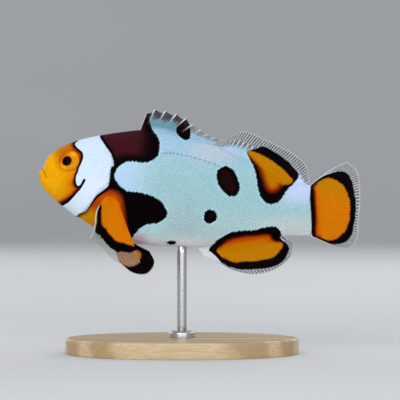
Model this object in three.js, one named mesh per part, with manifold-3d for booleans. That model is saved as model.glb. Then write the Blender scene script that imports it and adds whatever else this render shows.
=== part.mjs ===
// A life-size clownfish of the piebald aquarium form of the percula clownfish, swimming,
// held over an oval base by one rod.
//
// Millimetres, +Z up. The part's origin is the centre of the base's underside.
// The fish is modelled level in a frame of its own and then pitched as one group:
//   x runs back from the tip of the lower jaw, y is 0 in the plane of symmetry and
//   negative on the fish's left side, z is 0 at the height of the tip of the lower jaw.
import * as THREE from 'three';
import { mergeVertices } from 'three/addons/utils/BufferGeometryUtils.js';
import Module from 'manifold-3d';

const wasm = await Module();
wasm.setup();

// ---------------------------------------------------------------- driving dimensions
const PITCH_DEG = 6; // the fish swims with its nose this much up
const SNOUT = { x: -35.6, z: 45.2 }; // tip of the lower jaw in the part's frame
const GAP = 0.3; // left between neighbouring solids

// The body from nose to tail: [x, back z, belly z, half width, z where it is widest].
const STATIONS = [
  [0.1, -0.4, -0.4, 0, -0.4],
  [0.4, 0.25, -2.0, 1.1, -0.5],
  [0.9, 0.62, -3.1, 1.8, -0.6],
  [1.15, 2.2, -3.5, 2.1, -0.6],
  [1.6, 3.5, -4.05, 2.45, -0.7],
  [2.3, 4.6, -4.75, 2.85, -0.8],
  [3.9, 6.1, -6.0, 3.75, -0.9],
  [6.3, 7.55, -7.65, 4.6, -0.9],
  [9.6, 9.15, -9.55, 5.4, -0.8],
  [13.8, 10.55, -11.7, 6.1, -0.7],
  [19.0, 11.95, -13.9, 6.55, -0.6],
  [24.5, 13.1, -15.2, 6.6, -0.5],
  [30.5, 13.25, -15.2, 6.2, -0.5],
  [36.5, 12.6, -15.0, 5.5, -0.6],
  [42.5, 11.35, -14.5, 4.7, -0.9],
  [48.5, 9.65, -13.4, 3.85, -1.3],
  [54.0, 7.75, -12.0, 3.05, -1.8],
  [59.0, 5.8, -10.55, 2.4, -2.3],
  [63.5, 4.4, -9.45, 1.95, -2.6],
  [67.0, 3.85, -9.1, 1.6, -2.7],
  [69.3, 2.9, -8.1, 0.9, -2.7],
  [70.1, -2.7, -2.7, 0, -2.7],
];
const RIDGE = { head: 0.92, tail: 1.2 }; // over 1, the back and belly draw to an edge
const BODY_RINGS = 36;
const BODY_SIDES = 24;

const NECK_TOP = 16; // where head and trunk part on the back
const TAIL_STALK_X = 55.5; // where trunk and tail stalk part

// The gill cover's rear rim from its upper end down to the throat, the cheek's rear rim in
// front of it, and the cover's rounded top from front to rear, each as [x, z].
const GILL_RIM = [[18.2, 3.7], [17.8, 1.6], [17.6, -0.9], [15.6, -3.4], [13.7, -6.8], [10.6, -10.6]];
const CHEEK_RIM = [[12.9, 4.4], [12.5, 2.2], [11.7, -0.7], [9.5, -4.5], [6.9, -8.3]];
const GILL_COVER_TOP = [[13.9, 5.7], [15.6, 6.1], [17.3, 5.4]];
const GILL_COVER_DEPTH = 1.3;

const EYE = { x: 7.05, z: 3.5, radius: 2.4, depth: 1.5, sunk: 0.95, yawDeg: 14, rollDeg: 9 };

// The lips run round the mouth from corner to corner, thickest in front.
const LIP = {
  corner: { x: 2.7, y: 2.8, z: -1.4, radius: 0.26 },
  upper: { front: { x: 1.5, z: 1.4 }, radius: 0.55 },
  lower: { front: { x: 0.58, z: -0.2 }, radius: 0.5 },
  shut: 0.62, // height of the line where the lips meet in front
  bow: 0.8, // under 1, the mouth is blunter than a half ellipse
  swell: 0.7, // under 1, the lips stay thick further round
  steps: 10,
  sides: 8,
};
const JAW_HINGE = { x: 4.6, z: -3.4 }; // rear end of the lower jaw
const JAW_THROAT_X = 4.3; // where the jaw's underside meets the throat

// Fins: thickness of the web, and of the rays at the root and at the margin.
const FIN = { web: 0.5, ray: 0.9, rayTip: 0.62 };
const ROOT_SUNK = 0.8; // how deep the back and belly fins' roots are drawn inside the body

// Spines of the dorsal fin: [x of the foot on the back, length, lean from the vertical].
const SPINES = [
  [23.7, 4.4, 17],
  [25.2, 5.7, 19],
  [27.0, 5.9, 28],
  [28.9, 6.0, 38],
  [30.9, 5.8, 47],
  [32.9, 4.9, 56],
  [35.0, 4.5, 66],
  [37.1, 3.9, 73],
  [39.3, 3.5, 74],
  [41.6, 3.5, 70],
];
const WEB_DIP = { depth: 0.24, squareness: 0.6 }; // share of a spine that stands clear of the web

// The soft fins run from a root in the body to a margin of [x, z] points.
const SOFT_DORSAL = {
  rays: 13,
  root: [43.9, 65.3],
  margin: [
    [45.6, 12.7], [48.4, 14.9], [51.0, 15.25], [55.6, 13.7],
    [62.5, 11.1], [66.0, 8.4], [67.1, 4.6],
  ],
};
const ANAL = {
  rays: 12,
  root: [40.6, 62.6],
  margin: [
    [43.2, -16.6], [47.2, -17.9], [51.0, -19.4], [56.0, -19.8],
    [61.2, -18.0], [64.6, -14.4], [65.1, -11.2],
  ],
};
const TAIL = {
  rays: 13,
  root: [[67.2, 3.5], [68.3, -2.7], [69.0, -8.9]],
  margin: [
    [76.2, 10.55], [78.9, 8.4], [80.1, 3.6], [80.5, -3.2],
    [80.55, -8.4], [79.0, -10.7], [76.0, -11.0],
  ],
};

// Paired fins: root and margin run from the leading ray to the trailing one, as [x, out, z],
// where out is measured sideways from the plane of symmetry. The leading and the trailing
// ray bow through a point of their own, and the fin's scaly foot is thicker than its web.
const PECTORAL = {
  rays: 10,
  root: [[17.9, 5.6, -3.6], [19.0, 5.5, -5.2], [20.6, 5.5, -4.4]],
  margin: [
    [14.7, 11.2, -15.4], [17.6, 12.0, -17.8], [21.2, 12.3, -19.9],
    [25.2, 11.8, -20.5], [27.7, 10.6, -19.3],
  ],
  lead: [15.6, 8.4, -8.0],
  trail: [23.4, 8.0, -10.8],
  foot: { share: 0.3, thick: 1.5 },
};
const PELVIC = {
  rays: 6,
  root: [[20.6, 2.1, -12.9], [21.9, 2.3, -13.4], [23.6, 2.2, -13.6]],
  margin: [
    [22.2, 3.5, -20.0], [26.0, 4.3, -22.4], [29.6, 4.9, -22.3],
    [31.3, 5.1, -19.4], [29.7, 4.3, -16.5],
  ],
  lead: [21.1, 2.7, -17.0],
  trail: [26.0, 3.0, -15.5],
  foot: { share: 0.22, thick: 0.9 },
};
const FOOT_EDGE = 0.12; // how thin a foot gets at its two edges, as a share of its width

const STAND = {
  baseLength: 58, baseWidth: 36, baseHeight: 4, edge: 0.8,
  rod: 2.4, collar: 6.5, collarHeight: 1.6,
};

const REACH = { across: 30, along: 90, upright: 40 }; // past every part of the fish

// ---------------------------------------------------------------- materials
const material = (color, roughness, metalness = 0) =>
  new THREE.MeshStandardMaterial({ color, roughness, metalness });

const MATERIALS = {
  face: () => material(0xe0960c, 0.45),
  white: () => material(0xc8dce8, 0.4),
  flank: () => material(0xb4d2d6, 0.4),
  orangeFin: () => material(0xd27d06, 0.5),
  dorsal: () => material(0xa9c4cc, 0.5),
  eye: () => material(0xd9861a, 0.12),
  wood: () => material(0xd8c3a2, 0.6),
  steel: () => material(0xb9bcc0, 0.3, 1),
};

// ---------------------------------------------------------------- solids and booleans
const WELD = 1e-4;

function toSolid(geometry) {
  const bare = geometry.clone();
  bare.deleteAttribute('normal');
  bare.deleteAttribute('uv');
  const merged = mergeVertices(bare, WELD);
  return new wasm.Manifold(new wasm.Mesh({
    numProp: 3,
    vertProperties: merged.attributes.position.array,
    triVerts: new Uint32Array(merged.index.array),
  }));
}

function toGeometry(solid) {
  const mesh = solid.getMesh();
  const geometry = new THREE.BufferGeometry();
  geometry.setAttribute('position', new THREE.BufferAttribute(new Float32Array(mesh.vertProperties), 3));
  geometry.setIndex(new THREE.BufferAttribute(new Uint32Array(mesh.triVerts), 1));
  geometry.computeVertexNormals();
  return geometry;
}

function facesToSolid(points, faces) {
  const geometry = new THREE.BufferGeometry();
  geometry.setAttribute('position', new THREE.Float32BufferAttribute(points.flatMap((p) => p.toArray()), 3));
  geometry.setIndex(faces.flat());
  return toSolid(geometry);
}

// A closed skin over a row of rings, drawn to a point at either end.
function ringSolid(start, rings, end) {
  const sides = rings[0].length;
  const points = [start, ...rings.flat(), end];
  const last = points.length - 1;
  const at = (ring, side) => 1 + ring * sides + (side % sides);
  const faces = [];
  for (let side = 0; side < sides; side += 1) {
    faces.push([0, at(0, side + 1), at(0, side)]);
    for (let ring = 0; ring + 1 < rings.length; ring += 1) {
      faces.push([at(ring, side), at(ring, side + 1), at(ring + 1, side + 1)]);
      faces.push([at(ring, side), at(ring + 1, side + 1), at(ring + 1, side)]);
    }
    faces.push([last, at(rings.length - 1, side), at(rings.length - 1, side + 1)]);
  }
  return facesToSolid(points, faces);
}

// A prism across the fish over an outline of [x, z] points, from one y to another.
function prism(outline, from = -REACH.across, to = REACH.across) {
  const shape = new THREE.Shape(outline.map(([x, z]) => new THREE.Vector2(x, z)));
  const geometry = new THREE.ExtrudeGeometry(shape, { depth: to - from, bevelEnabled: false });
  geometry.rotateX(Math.PI / 2);
  geometry.translate(0, to, 0);
  return toSolid(geometry);
}

// A closed outline grown by a margin, each corner along the bisector of its edges.
function outset(outline, margin) {
  const corners = outline.map(([x, z]) => new THREE.Vector2(x, z));
  const way = THREE.ShapeUtils.isClockWise(corners) ? -1 : 1;
  return corners.map((corner, index) => {
    const next = corners[(index + 1) % corners.length];
    const before = corners.at(index - 1);
    const along = next.clone().sub(before).normalize();
    return [corner.x + way * margin * along.y, corner.y - way * margin * along.x];
  });
}

const curve = (points) => new THREE.CatmullRomCurve3(points, false, 'catmullrom');
const sideCurve = (points) => curve(points.map(([x, z]) => new THREE.Vector3(x, 0, z)));
const sampled = (points, count) => sideCurve(points).getPoints(count).map((p) => [p.x, p.z]);
const evenly = (count) => Array.from({ length: count + 1 }, (_, index) => index / count);

// ---------------------------------------------------------------- body
const backLine = sideCurve(STATIONS.map(([x, back]) => [x, back]));
const bellyLine = sideCurve(STATIONS.map(([x, , belly]) => [x, belly]));
const flankLine = curve(STATIONS.map(([x, , , half, level]) => new THREE.Vector3(x, half, level)));

function bodyRing(t, swell) {
  const back = backLine.getPoint(t);
  const belly = bellyLine.getPoint(t);
  const flank = flankLine.getPoint(t);
  const sharpness = THREE.MathUtils.lerp(RIDGE.head, RIDGE.tail, t);
  return Array.from({ length: BODY_SIDES }, (_, side) => {
    const angle = (side / BODY_SIDES) * 2 * Math.PI;
    const across = -Math.sin(angle);
    const up = Math.cos(angle);
    const reach = up > 0 ? back.z - flank.z : flank.z - belly.z;
    const half = (flank.y + swell) * Math.sign(across) * Math.abs(across) ** sharpness;
    return new THREE.Vector3(back.x, half, flank.z + (reach + swell) * up);
  });
}

function bodySolid(swell = 0) {
  const rings = [];
  for (let ring = 1; ring < BODY_RINGS; ring += 1) rings.push(bodyRing(ring / BODY_RINGS, swell));
  const nose = backLine.getPoint(0);
  const tail = backLine.getPoint(1);
  nose.x -= swell;
  tail.x += swell;
  return ringSolid(nose, rings, tail);
}

// The curves' parameter at a given x, found by halving.
function stationAt(x) {
  const halvings = 30;
  let low = 0;
  let high = 1;
  for (let step = 0; step < halvings; step += 1) {
    const middle = (low + high) / 2;
    if (backLine.getPoint(middle).x < x) low = middle;
    else high = middle;
  }
  return (low + high) / 2;
}

const backAt = (x) => backLine.getPoint(stationAt(x)).z;
const bellyAt = (x) => bellyLine.getPoint(stationAt(x)).z;

// Half width of the body at a point above its widest level.
function halfWidthAt(x, z) {
  const t = stationAt(x);
  const flank = flankLine.getPoint(t);
  const up = (z - flank.z) / (backLine.getPoint(t).z - flank.z);
  return flank.y * Math.sqrt(1 - up * up) ** THREE.MathUtils.lerp(RIDGE.head, RIDGE.tail, t);
}

// ---------------------------------------------------------------- fins
// A thin closed plate over surface(u, v), half(u, v) thick to either side.
function plateSolid(surface, half, us, vs) {
  const step = 1e-3;
  const sheets = [[], []];
  for (const u of us) {
    for (const v of vs) {
      const here = surface(u, v);
      const alongU = surface(Math.min(u + step, 1), v).sub(surface(Math.max(u - step, 0), v));
      const alongV = surface(u, Math.min(v + step, 1)).sub(surface(u, Math.max(v - step, 0)));
      const normal = alongU.cross(alongV).normalize().multiplyScalar(half(u, v));
      sheets[0].push(here.clone().add(normal));
      sheets[1].push(here.clone().sub(normal));
    }
  }
  const rows = us.length;
  const columns = vs.length;
  const at = (sheet, row, column) => sheet * rows * columns + row * columns + column;
  const quad = (a, b, c, d) => [[a, b, c], [a, c, d]];
  const faces = [];
  for (let row = 0; row + 1 < rows; row += 1) {
    for (let column = 0; column + 1 < columns; column += 1) {
      const corners = [[row, column], [row + 1, column], [row + 1, column + 1], [row, column + 1]];
      faces.push(...quad(...corners.map(([r, c]) => at(0, r, c))));
      faces.push(...quad(...corners.reverse().map(([r, c]) => at(1, r, c))));
    }
  }
  const rim = [];
  for (let row = 0; row + 1 < rows; row += 1) rim.push([row, 0]);
  for (let column = 0; column + 1 < columns; column += 1) rim.push([rows - 1, column]);
  for (let row = rows - 1; row > 0; row -= 1) rim.push([row, columns - 1]);
  for (let column = columns - 1; column > 0; column -= 1) rim.push([0, column]);
  rim.forEach(([row, column], index) => {
    const [nextRow, nextColumn] = rim[(index + 1) % rim.length];
    faces.push(...quad(
      at(0, row, column), at(1, row, column), at(1, nextRow, nextColumn), at(0, nextRow, nextColumn),
    ));
  });
  return facesToSolid([...sheets[0], ...sheets[1]], faces);
}

// Half thickness of a fin: a ridge on every ray over an even web.
function rayedHalf(rays) {
  return (u, v) => {
    const onRay = Math.max(0, Math.cos(2 * Math.PI * u * (rays - 1)));
    const ridge = THREE.MathUtils.lerp(FIN.ray, FIN.rayTip, v) - FIN.web;
    return (FIN.web + ridge * onRay) / 2;
  };
}

// A fin's rays and the middles of the webs between them, from 0 to 1.
const raysAndWebs = (rays) => evenly(2 * (rays - 1));

const SOFT_ROWS = 3;
const PAIRED_ROWS = 5;
const SPINY_ROWS = 2;

function softFin({ rays, root, margin }) {
  const marginLine = sideCurve(margin);
  const surface = (u, v) => root.getPoint(u).lerp(marginLine.getPoint(u), v);
  return plateSolid(surface, rayedHalf(rays), raysAndWebs(rays), evenly(SOFT_ROWS));
}

// A root line that follows the back or the belly between two stations.
function rootAlong([front, rear], heightAt) {
  const xs = evenly(6).map((share) => THREE.MathUtils.lerp(front, rear, share));
  return sideCurve(xs.map((x) => [x, heightAt(x)]));
}

const softDorsalFin = () =>
  softFin({ ...SOFT_DORSAL, root: rootAlong(SOFT_DORSAL.root, (x) => backAt(x) - ROOT_SUNK) });
const analFin = () => softFin({ ...ANAL, root: rootAlong(ANAL.root, (x) => bellyAt(x) + ROOT_SUNK) });
const tailFin = () => softFin({ ...TAIL, root: sideCurve(TAIL.root) });

// The spiny dorsal fin: a web that dips between stiff spines.
function spinyDorsalFin() {
  const feet = SPINES.map(([x]) => new THREE.Vector3(x, 0, backAt(x) - ROOT_SUNK));
  const tips = SPINES.map(([x, length, lean]) => {
    const angle = THREE.MathUtils.degToRad(lean);
    return new THREE.Vector3(x + length * Math.sin(angle), 0, backAt(x) + length * Math.cos(angle));
  });
  const last = SPINES.length - 1;
  const surface = (u, v) => {
    const spine = Math.min(Math.floor(u * last), last - 1);
    const share = u * last - spine;
    const foot = feet[spine].clone().lerp(feet[spine + 1], share);
    const tip = tips[spine].clone().lerp(tips[spine + 1], share);
    const dip = WEB_DIP.depth * Math.abs(Math.sin(Math.PI * share)) ** WEB_DIP.squareness;
    return foot.lerp(tip, v * (1 - dip));
  };
  const onAndBeside = [0, 0.14, 0.5, 0.86];
  const us = SPINES.slice(1).flatMap((_, spine) => onAndBeside.map((share) => (spine + share) / last));
  return plateSolid(surface, rayedHalf(SPINES.length), [...us, 1], evenly(SPINY_ROWS));
}

function pairedFin({ rays, root, margin, lead, trail, foot }, side) {
  const place = ([x, out, z]) => new THREE.Vector3(x, side * out, z);
  const rootLine = curve(root.map(place));
  const marginLine = curve(margin.map(place));
  const straight = (u, v) => rootLine.getPoint(u).lerp(marginLine.getPoint(u), v);
  const leadBow = place(lead).sub(straight(0, 0.5));
  const trailBow = place(trail).sub(straight(1, 0.5));
  const surface = (u, v) => {
    const arch = 4 * v * (1 - v);
    return straight(u, v).addScaledVector(leadBow, arch * (1 - u)).addScaledVector(trailBow, arch * u);
  };
  const web = rayedHalf(rays);
  const half = (u, v) => {
    const flesh = 1 - THREE.MathUtils.smoothstep(v, 0, foot.share);
    const roundness = Math.sin(Math.PI * THREE.MathUtils.clamp(u, FOOT_EDGE, 1 - FOOT_EDGE));
    return web(u, v) + (flesh * roundness * foot.thick) / 2;
  };
  return plateSolid(surface, half, raysAndWebs(rays), evenly(PAIRED_ROWS));
}

// ---------------------------------------------------------------- head pieces
function eyeSolid(side, swell = 0) {
  const ball = new THREE.SphereGeometry(1, 16, 8);
  ball.scale(EYE.radius + swell, EYE.depth + swell, EYE.radius + swell);
  ball.rotateX(side * THREE.MathUtils.degToRad(EYE.rollDeg));
  ball.rotateZ(side * THREE.MathUtils.degToRad(EYE.yawDeg));
  ball.translate(EYE.x, side * (halfWidthAt(EYE.x, EYE.z) - EYE.sunk), EYE.z);
  return toSolid(ball);
}

function lipSolid({ front, radius }, swell = 0) {
  const { corner, bow, steps, sides } = LIP;
  const centre = (angle) => {
    const forward = Math.cos(angle) ** bow;
    return new THREE.Vector3(
      THREE.MathUtils.lerp(corner.x, front.x, forward),
      corner.y * Math.sin(angle),
      THREE.MathUtils.lerp(corner.z, front.z, forward),
    );
  };
  const ring = (angle) => {
    const thick = THREE.MathUtils.lerp(corner.radius, radius, Math.cos(angle) ** LIP.swell) + swell;
    const outward = new THREE.Vector3(-Math.cos(angle), Math.sin(angle), 0);
    return Array.from({ length: sides }, (_, side) => {
      const turn = (side / sides) * 2 * Math.PI;
      return centre(angle)
        .addScaledVector(outward, thick * Math.cos(turn))
        .add(new THREE.Vector3(0, 0, thick * Math.sin(turn)));
    });
  };
  const quarter = Math.PI / 2;
  const tip = (angle) => centre(angle).add(new THREE.Vector3(corner.radius + swell, 0, 0));
  const rings = evenly(steps).map((share) => ring(THREE.MathUtils.lerp(-quarter, quarter, share)));
  return ringSolid(tip(-quarter), rings, tip(quarter));
}

// The region of the side view that belongs to the lower jaw.
function jawRegion(margin) {
  const { corner, shut, upper } = LIP;
  const ahead = -REACH.across;
  return prism([
    [ahead, shut + margin],
    [upper.front.x - upper.radius, shut + margin],
    [corner.x, corner.z + margin],
    [JAW_HINGE.x + margin, JAW_HINGE.z + margin],
    [JAW_THROAT_X + margin, -REACH.upright],
    [ahead, -REACH.upright],
  ]);
}

// ---------------------------------------------------------------- dividing the fish
function divideBody() {
  const { along, upright } = REACH;
  const rim = sampled(GILL_RIM, 16);
  const throatX = rim.at(-1)[0];
  const neck = [[NECK_TOP, upright], [NECK_TOP, backAt(NECK_TOP)], ...rim, [throatX, -upright]];
  const behindNeck = neck.map(([x, z]) => [x + GAP, z]);
  const stalkFront = TAIL_STALK_X + GAP;
  const whole = bodySolid();
  return {
    head: whole.intersect(prism([...neck, [-along, -upright], [-along, upright]])),
    trunk: whole.intersect(prism([...behindNeck, [TAIL_STALK_X, -upright], [TAIL_STALK_X, upright]])),
    tailStalk: whole.intersect(prism([
      [stalkFront, -upright], [along, -upright], [along, upright], [stalkFront, upright],
    ])),
  };
}

function gillCoverRegion(margin) {
  return outset([...sampled(GILL_RIM, 12), ...sampled(CHEEK_RIM, 9).reverse(), ...GILL_COVER_TOP], margin);
}

// A shell under the skin's surface, as deep as the gill cover is thick.
function gillCover(head, side) {
  const span = side < 0 ? [-REACH.across, -GAP / 2] : [GAP / 2, REACH.across];
  return head.intersect(prism(gillCoverRegion(-GAP / 2), ...span)).subtract(bodySolid(-GILL_COVER_DEPTH));
}

// The hollow in the head that both gill covers lie in.
const gillRecess = () =>
  prism(gillCoverRegion(GAP / 2)).subtract(bodySolid(-GILL_COVER_DEPTH - GAP));

// ---------------------------------------------------------------- stand
function standBase() {
  const { baseLength, baseWidth, baseHeight, edge } = STAND;
  const radius = baseLength / 2;
  const profile = [
    [0, 0], [radius - edge / 2, 0], [radius, edge / 2],
    [radius, baseHeight - edge], [radius - edge, baseHeight], [0, baseHeight],
  ].map(([r, z]) => new THREE.Vector2(r, z));
  const geometry = new THREE.LatheGeometry(profile, 44);
  geometry.rotateX(Math.PI / 2);
  geometry.scale(1, baseWidth / baseLength, 1);
  return toSolid(geometry);
}

function uprightCylinder(diameter, from, to, sides = 20) {
  const geometry = new THREE.CylinderGeometry(diameter / 2, diameter / 2, to - from, sides);
  geometry.rotateX(Math.PI / 2);
  geometry.translate(0, 0, (from + to) / 2);
  return toSolid(geometry);
}

// ---------------------------------------------------------------- assembly
const model = new THREE.Group();
const fish = new THREE.Group();
fish.rotation.y = THREE.MathUtils.degToRad(PITCH_DEG);
fish.position.set(SNOUT.x, 0, SNOUT.z);
fish.updateMatrixWorld(true);
model.add(fish);

function addTo(group, name, solid, finish) {
  const mesh = new THREE.Mesh(toGeometry(solid), finish());
  mesh.name = name;
  group.add(mesh);
}

function addHead(wholeHead) {
  const upperLipRoom = lipSolid(LIP.upper, GAP);
  const jaw = wholeHead.intersect(jawRegion(0)).add(lipSolid(LIP.lower));
  let head = wholeHead.subtract(gillRecess());
  for (const [name, side] of SIDES) {
    addTo(fish, `gill_cover_${name}`, gillCover(wholeHead, side), MATERIALS.white);
    addTo(fish, `eye_${name}`, eyeSolid(side), MATERIALS.eye);
    head = head.subtract(eyeSolid(side, GAP));
  }
  head = head.subtract(jawRegion(GAP)).subtract(upperLipRoom).subtract(lipSolid(LIP.lower, GAP));
  addTo(fish, 'head', head, MATERIALS.face);
  addTo(fish, 'upper_lip', lipSolid(LIP.upper).subtract(jawRegion(GAP)), MATERIALS.face);
  addTo(fish, 'lower_jaw', jaw.subtract(upperLipRoom), MATERIALS.face);
}

function addFins(bodyAndGap) {
  const addFin = (name, fin, finish) => addTo(fish, name, fin.subtract(bodyAndGap), finish);
  addFin('dorsal_fin_spiny', spinyDorsalFin(), MATERIALS.dorsal);
  addFin('dorsal_fin_soft', softDorsalFin(), MATERIALS.orangeFin);
  addFin('anal_fin', analFin(), MATERIALS.orangeFin);
  addFin('tail_fin', tailFin(), MATERIALS.orangeFin);
  for (const [name, side] of SIDES) {
    addFin(`pectoral_fin_${name}`, pairedFin(PECTORAL, side), MATERIALS.orangeFin);
    addFin(`pelvic_fin_${name}`, pairedFin(PELVIC, side), MATERIALS.orangeFin);
  }
}

function addStand(bodyAndGap) {
  const { baseHeight, collar, collarHeight, rod } = STAND;
  const bodyInPlace = bodyAndGap.transform(fish.matrixWorld.toArray());
  const bore = uprightCylinder(rod + 2 * GAP, 0, SNOUT.z);
  const disc = uprightCylinder(collar, baseHeight, baseHeight + collarHeight, 24);
  addTo(model, 'stand_base', standBase(), MATERIALS.wood);
  addTo(model, 'stand_rod', uprightCylinder(rod, baseHeight, SNOUT.z).subtract(bodyInPlace), MATERIALS.steel);
  addTo(model, 'stand_collar', disc.subtract(bore), MATERIALS.steel);
}

const SIDES = [['left', -1], ['right', 1]];
const { head, trunk, tailStalk } = divideBody();
const bodyAndGap = bodySolid(GAP);
addHead(head);
addTo(fish, 'trunk', trunk, MATERIALS.flank);
addTo(fish, 'tail_stalk', tailStalk, MATERIALS.white);
addFins(bodyAndGap);
addStand(bodyAndGap);

export default model;
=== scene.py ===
import math

import bpy
import numpy as np
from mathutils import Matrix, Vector


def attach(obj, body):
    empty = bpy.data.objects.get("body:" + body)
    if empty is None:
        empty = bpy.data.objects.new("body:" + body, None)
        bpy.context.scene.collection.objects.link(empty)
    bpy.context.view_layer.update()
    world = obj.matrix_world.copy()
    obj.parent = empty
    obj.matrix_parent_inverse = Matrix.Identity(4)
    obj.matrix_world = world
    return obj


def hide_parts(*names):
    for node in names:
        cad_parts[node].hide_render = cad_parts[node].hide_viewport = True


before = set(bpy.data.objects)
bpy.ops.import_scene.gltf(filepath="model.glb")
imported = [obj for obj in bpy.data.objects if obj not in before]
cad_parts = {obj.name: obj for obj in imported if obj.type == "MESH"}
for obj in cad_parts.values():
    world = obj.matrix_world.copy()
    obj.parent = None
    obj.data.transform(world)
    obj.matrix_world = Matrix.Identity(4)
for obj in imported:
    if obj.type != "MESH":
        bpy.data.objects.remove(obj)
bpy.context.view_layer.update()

MM = 0.001
PITCH = math.radians(6)
SNOUT = np.array([-35.6, 0.0, 45.2])
SIDES = {"left": -1, "right": 1}
rng = np.random.default_rng(7)

# ------------------------------------------------------------------ sizes of the animal
# Rows of the skin from the line where the lips meet back to the tail's root. Each holds
# the back (x, z), the belly (x, z) and the flank (x, half width, z).
SKIN_ROWS = [
    ((1.30, 0.76), (1.05, 0.62), (2.20, 2.30, -1.60)),
    ((1.00, 0.84), (0.42, 0.44), (2.24, 2.46, -1.60)),
    ((0.86, 1.25), (0.06, 0.05), (2.45, 2.66, -1.56)),
    ((0.98, 1.85), (0.08, -0.66), (2.80, 2.90, -1.46)),
    ((1.17, 2.25), (0.28, -1.55), (3.25, 3.18, -1.34)),
    ((1.58, 3.40), (0.88, -3.05), (4.00, 3.60, -1.20)),
    ((2.35, 4.62), (1.95, -4.42), (4.90, 4.00, -1.10)),
    ((3.90, 6.08), (3.80, -5.93), (6.30, 4.55, -1.00)),
    ((6.30, 7.55), (6.30, -7.65), (8.10, 5.02, -0.92)),
    ((9.60, 9.15), (9.60, -9.55), (10.6, 5.58, -0.84)),
]
# The rest of the body in flat rings: x, back z, belly z, half width, z where it is widest.
BODY_ROWS = [
    (13.8, 10.55, -11.7, 6.1, -0.7),
    (19, 11.95, -13.9, 6.55, -0.6),
    (24.5, 13.1, -15.2, 6.6, -0.5),
    (30.5, 13.25, -15.2, 6.2, -0.5),
    (36.5, 12.6, -15, 5.5, -0.6),
    (42.5, 11.35, -14.5, 4.7, -0.9),
    (48.5, 9.65, -13.4, 3.85, -1.3),
    (54, 7.75, -12, 3.05, -1.8),
    (59, 5.8, -10.55, 2.4, -2.3),
    (63.5, 4.4, -9.45, 1.95, -2.6),
    (67, 3.85, -9.1, 1.6, -2.7),
    (69.3, 2.9, -8.1, 0.9, -2.7),
    (70.1, -2.7, -2.7, 0, -2.7),
]
SKIN_ROWS += [((x, b), (x, v), (x, h, w)) for x, b, v, h, w in BODY_ROWS]
RIDGE = (0.92, 1.2)  # how sharply back and belly draw to an edge, at head and tail
COAT = 0.1  # the skin lies this far inside the solids

GILL_RIM = [
    (16.6, 6.3), (17.9, 5.2), (18.2, 3.7), (17.8, 1.6), (17.6, -0.9), (15.6, -3.4), (13.7, -6.8),
    (10.6, -10.6),
]
CHEEK_RIM = [(13.9, 5.7), (12.9, 4.4), (12.5, 2.2), (11.7, -0.7), (9.5, -4.5), (6.9, -8.3)]
JAW_LINE = [(3, -1.75), (4.3, -3.2), (5.2, -4.9)]
EYE = {"x": 7.5, "z": 3.62, "radius": 2.6}
PUPIL = {"x": -0.33, "z": -0.25, "radius": 1.12}  # from the middle of the eye
LIP_FOLD = [(2.5, 2.3), (2.55, 1.4), (2.25, 0.3)]
NOSTRIL = (3.47, 3.86)


# ------------------------------------------------------------------ curves and frames
def to_row(points):
    """Points of the fish's level frame in millimetres, in the row frame in metres."""
    x, y, z = np.moveaxis(np.asarray(points, float), -1, 0)
    c, s = math.cos(PITCH), math.sin(PITCH)
    return (np.stack((x * c + z * s, y, z * c - x * s), -1) + SNOUT) * MM


def spline(points, t, closed=False):
    """A Catmull-Rom curve through the points, at t from 0 to 1."""
    p = np.asarray(points, float)
    t = np.asarray(t, float)
    n = len(p)
    if closed:
        s = (t % 1) * n
        i = np.floor(s).astype(int)
        p0, p1, p2, p3 = (p[(i + k) % n] for k in (-1, 0, 1, 2))
    else:
        s = np.clip(t, 0, 1) * (n - 1)
        i = np.minimum(np.floor(s).astype(int), n - 2)
        ends = np.vstack([2 * p[0] - p[1], p, 2 * p[-1] - p[-2]])
        p0, p1, p2, p3 = (ends[i + k] for k in (0, 1, 2, 3))
    w = (s - i)[..., None]
    curved = (2 * p0 - 5 * p1 + 4 * p2 - p3) * w**2 + (3 * p1 - p0 - 3 * p2 + p3) * w**3
    return 0.5 * (2 * p1 + (p2 - p0) * w + curved)


def curve(points, count):
    """An open curve through the points, as a line of count points."""
    return spline(points, np.linspace(0, 1, count))


def length(vectors):
    return np.linalg.norm(vectors, axis=-1)


def unit(vectors):
    return vectors / np.maximum(length(vectors)[..., None], 1e-9)


def run_along(line):
    """How far along a line each of its points lies."""
    return np.concatenate([[0], np.cumsum(length(np.diff(line, axis=0)))])


def between(a, b, share):
    return a * (1 - share) + b * share


def ramp(value, low, high):
    """0 below low, 1 above high, smooth in between."""
    share = np.clip((value - low) / (high - low), 0, 1)
    return share * share * (3 - 2 * share)


def bead(distance, height, width):
    """The height of a rounded bead, or of a groove if it is negative, at a distance from its middle."""
    return height * np.exp(-((distance / width) ** 2))


def polyline_distance(points, line):
    """Distance of (n, 2) points from a polyline, and which side of it they lie on."""
    best = np.full(len(points), np.inf)
    side = np.zeros(len(points))
    for a, b in zip(line[:-1], line[1:]):
        along = b - a
        share = np.clip(((points - a) @ along) / (along @ along), 0, 1)
        offset = points - a - share[:, None] * along
        distance = np.hypot(offset[:, 0], offset[:, 1])
        cross = along[0] * (points[:, 1] - a[1]) - along[1] * (points[:, 0] - a[0])
        nearer = distance < best
        best[nearer] = distance[nearer]
        side[nearer] = np.sign(cross[nearer])
    return best, side


def outline_distance(points, outline, detail=6):
    """Signed distance of (n, 2) points from a smooth closed outline, negative inside."""
    steps = len(outline) * detail
    line = spline(outline, np.arange(steps + 1) / steps, closed=True)
    best, _ = polyline_distance(points, line)
    inside = np.zeros(len(points), bool)
    for (ax, az), (bx, bz) in zip(line[:-1], line[1:]):
        if az == bz:
            continue
        spans = (az > points[:, 1]) != (bz > points[:, 1])
        inside ^= spans & (points[:, 0] < ax + (points[:, 1] - az) * (bx - ax) / (bz - az))
    return np.where(inside, -best, best)


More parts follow.
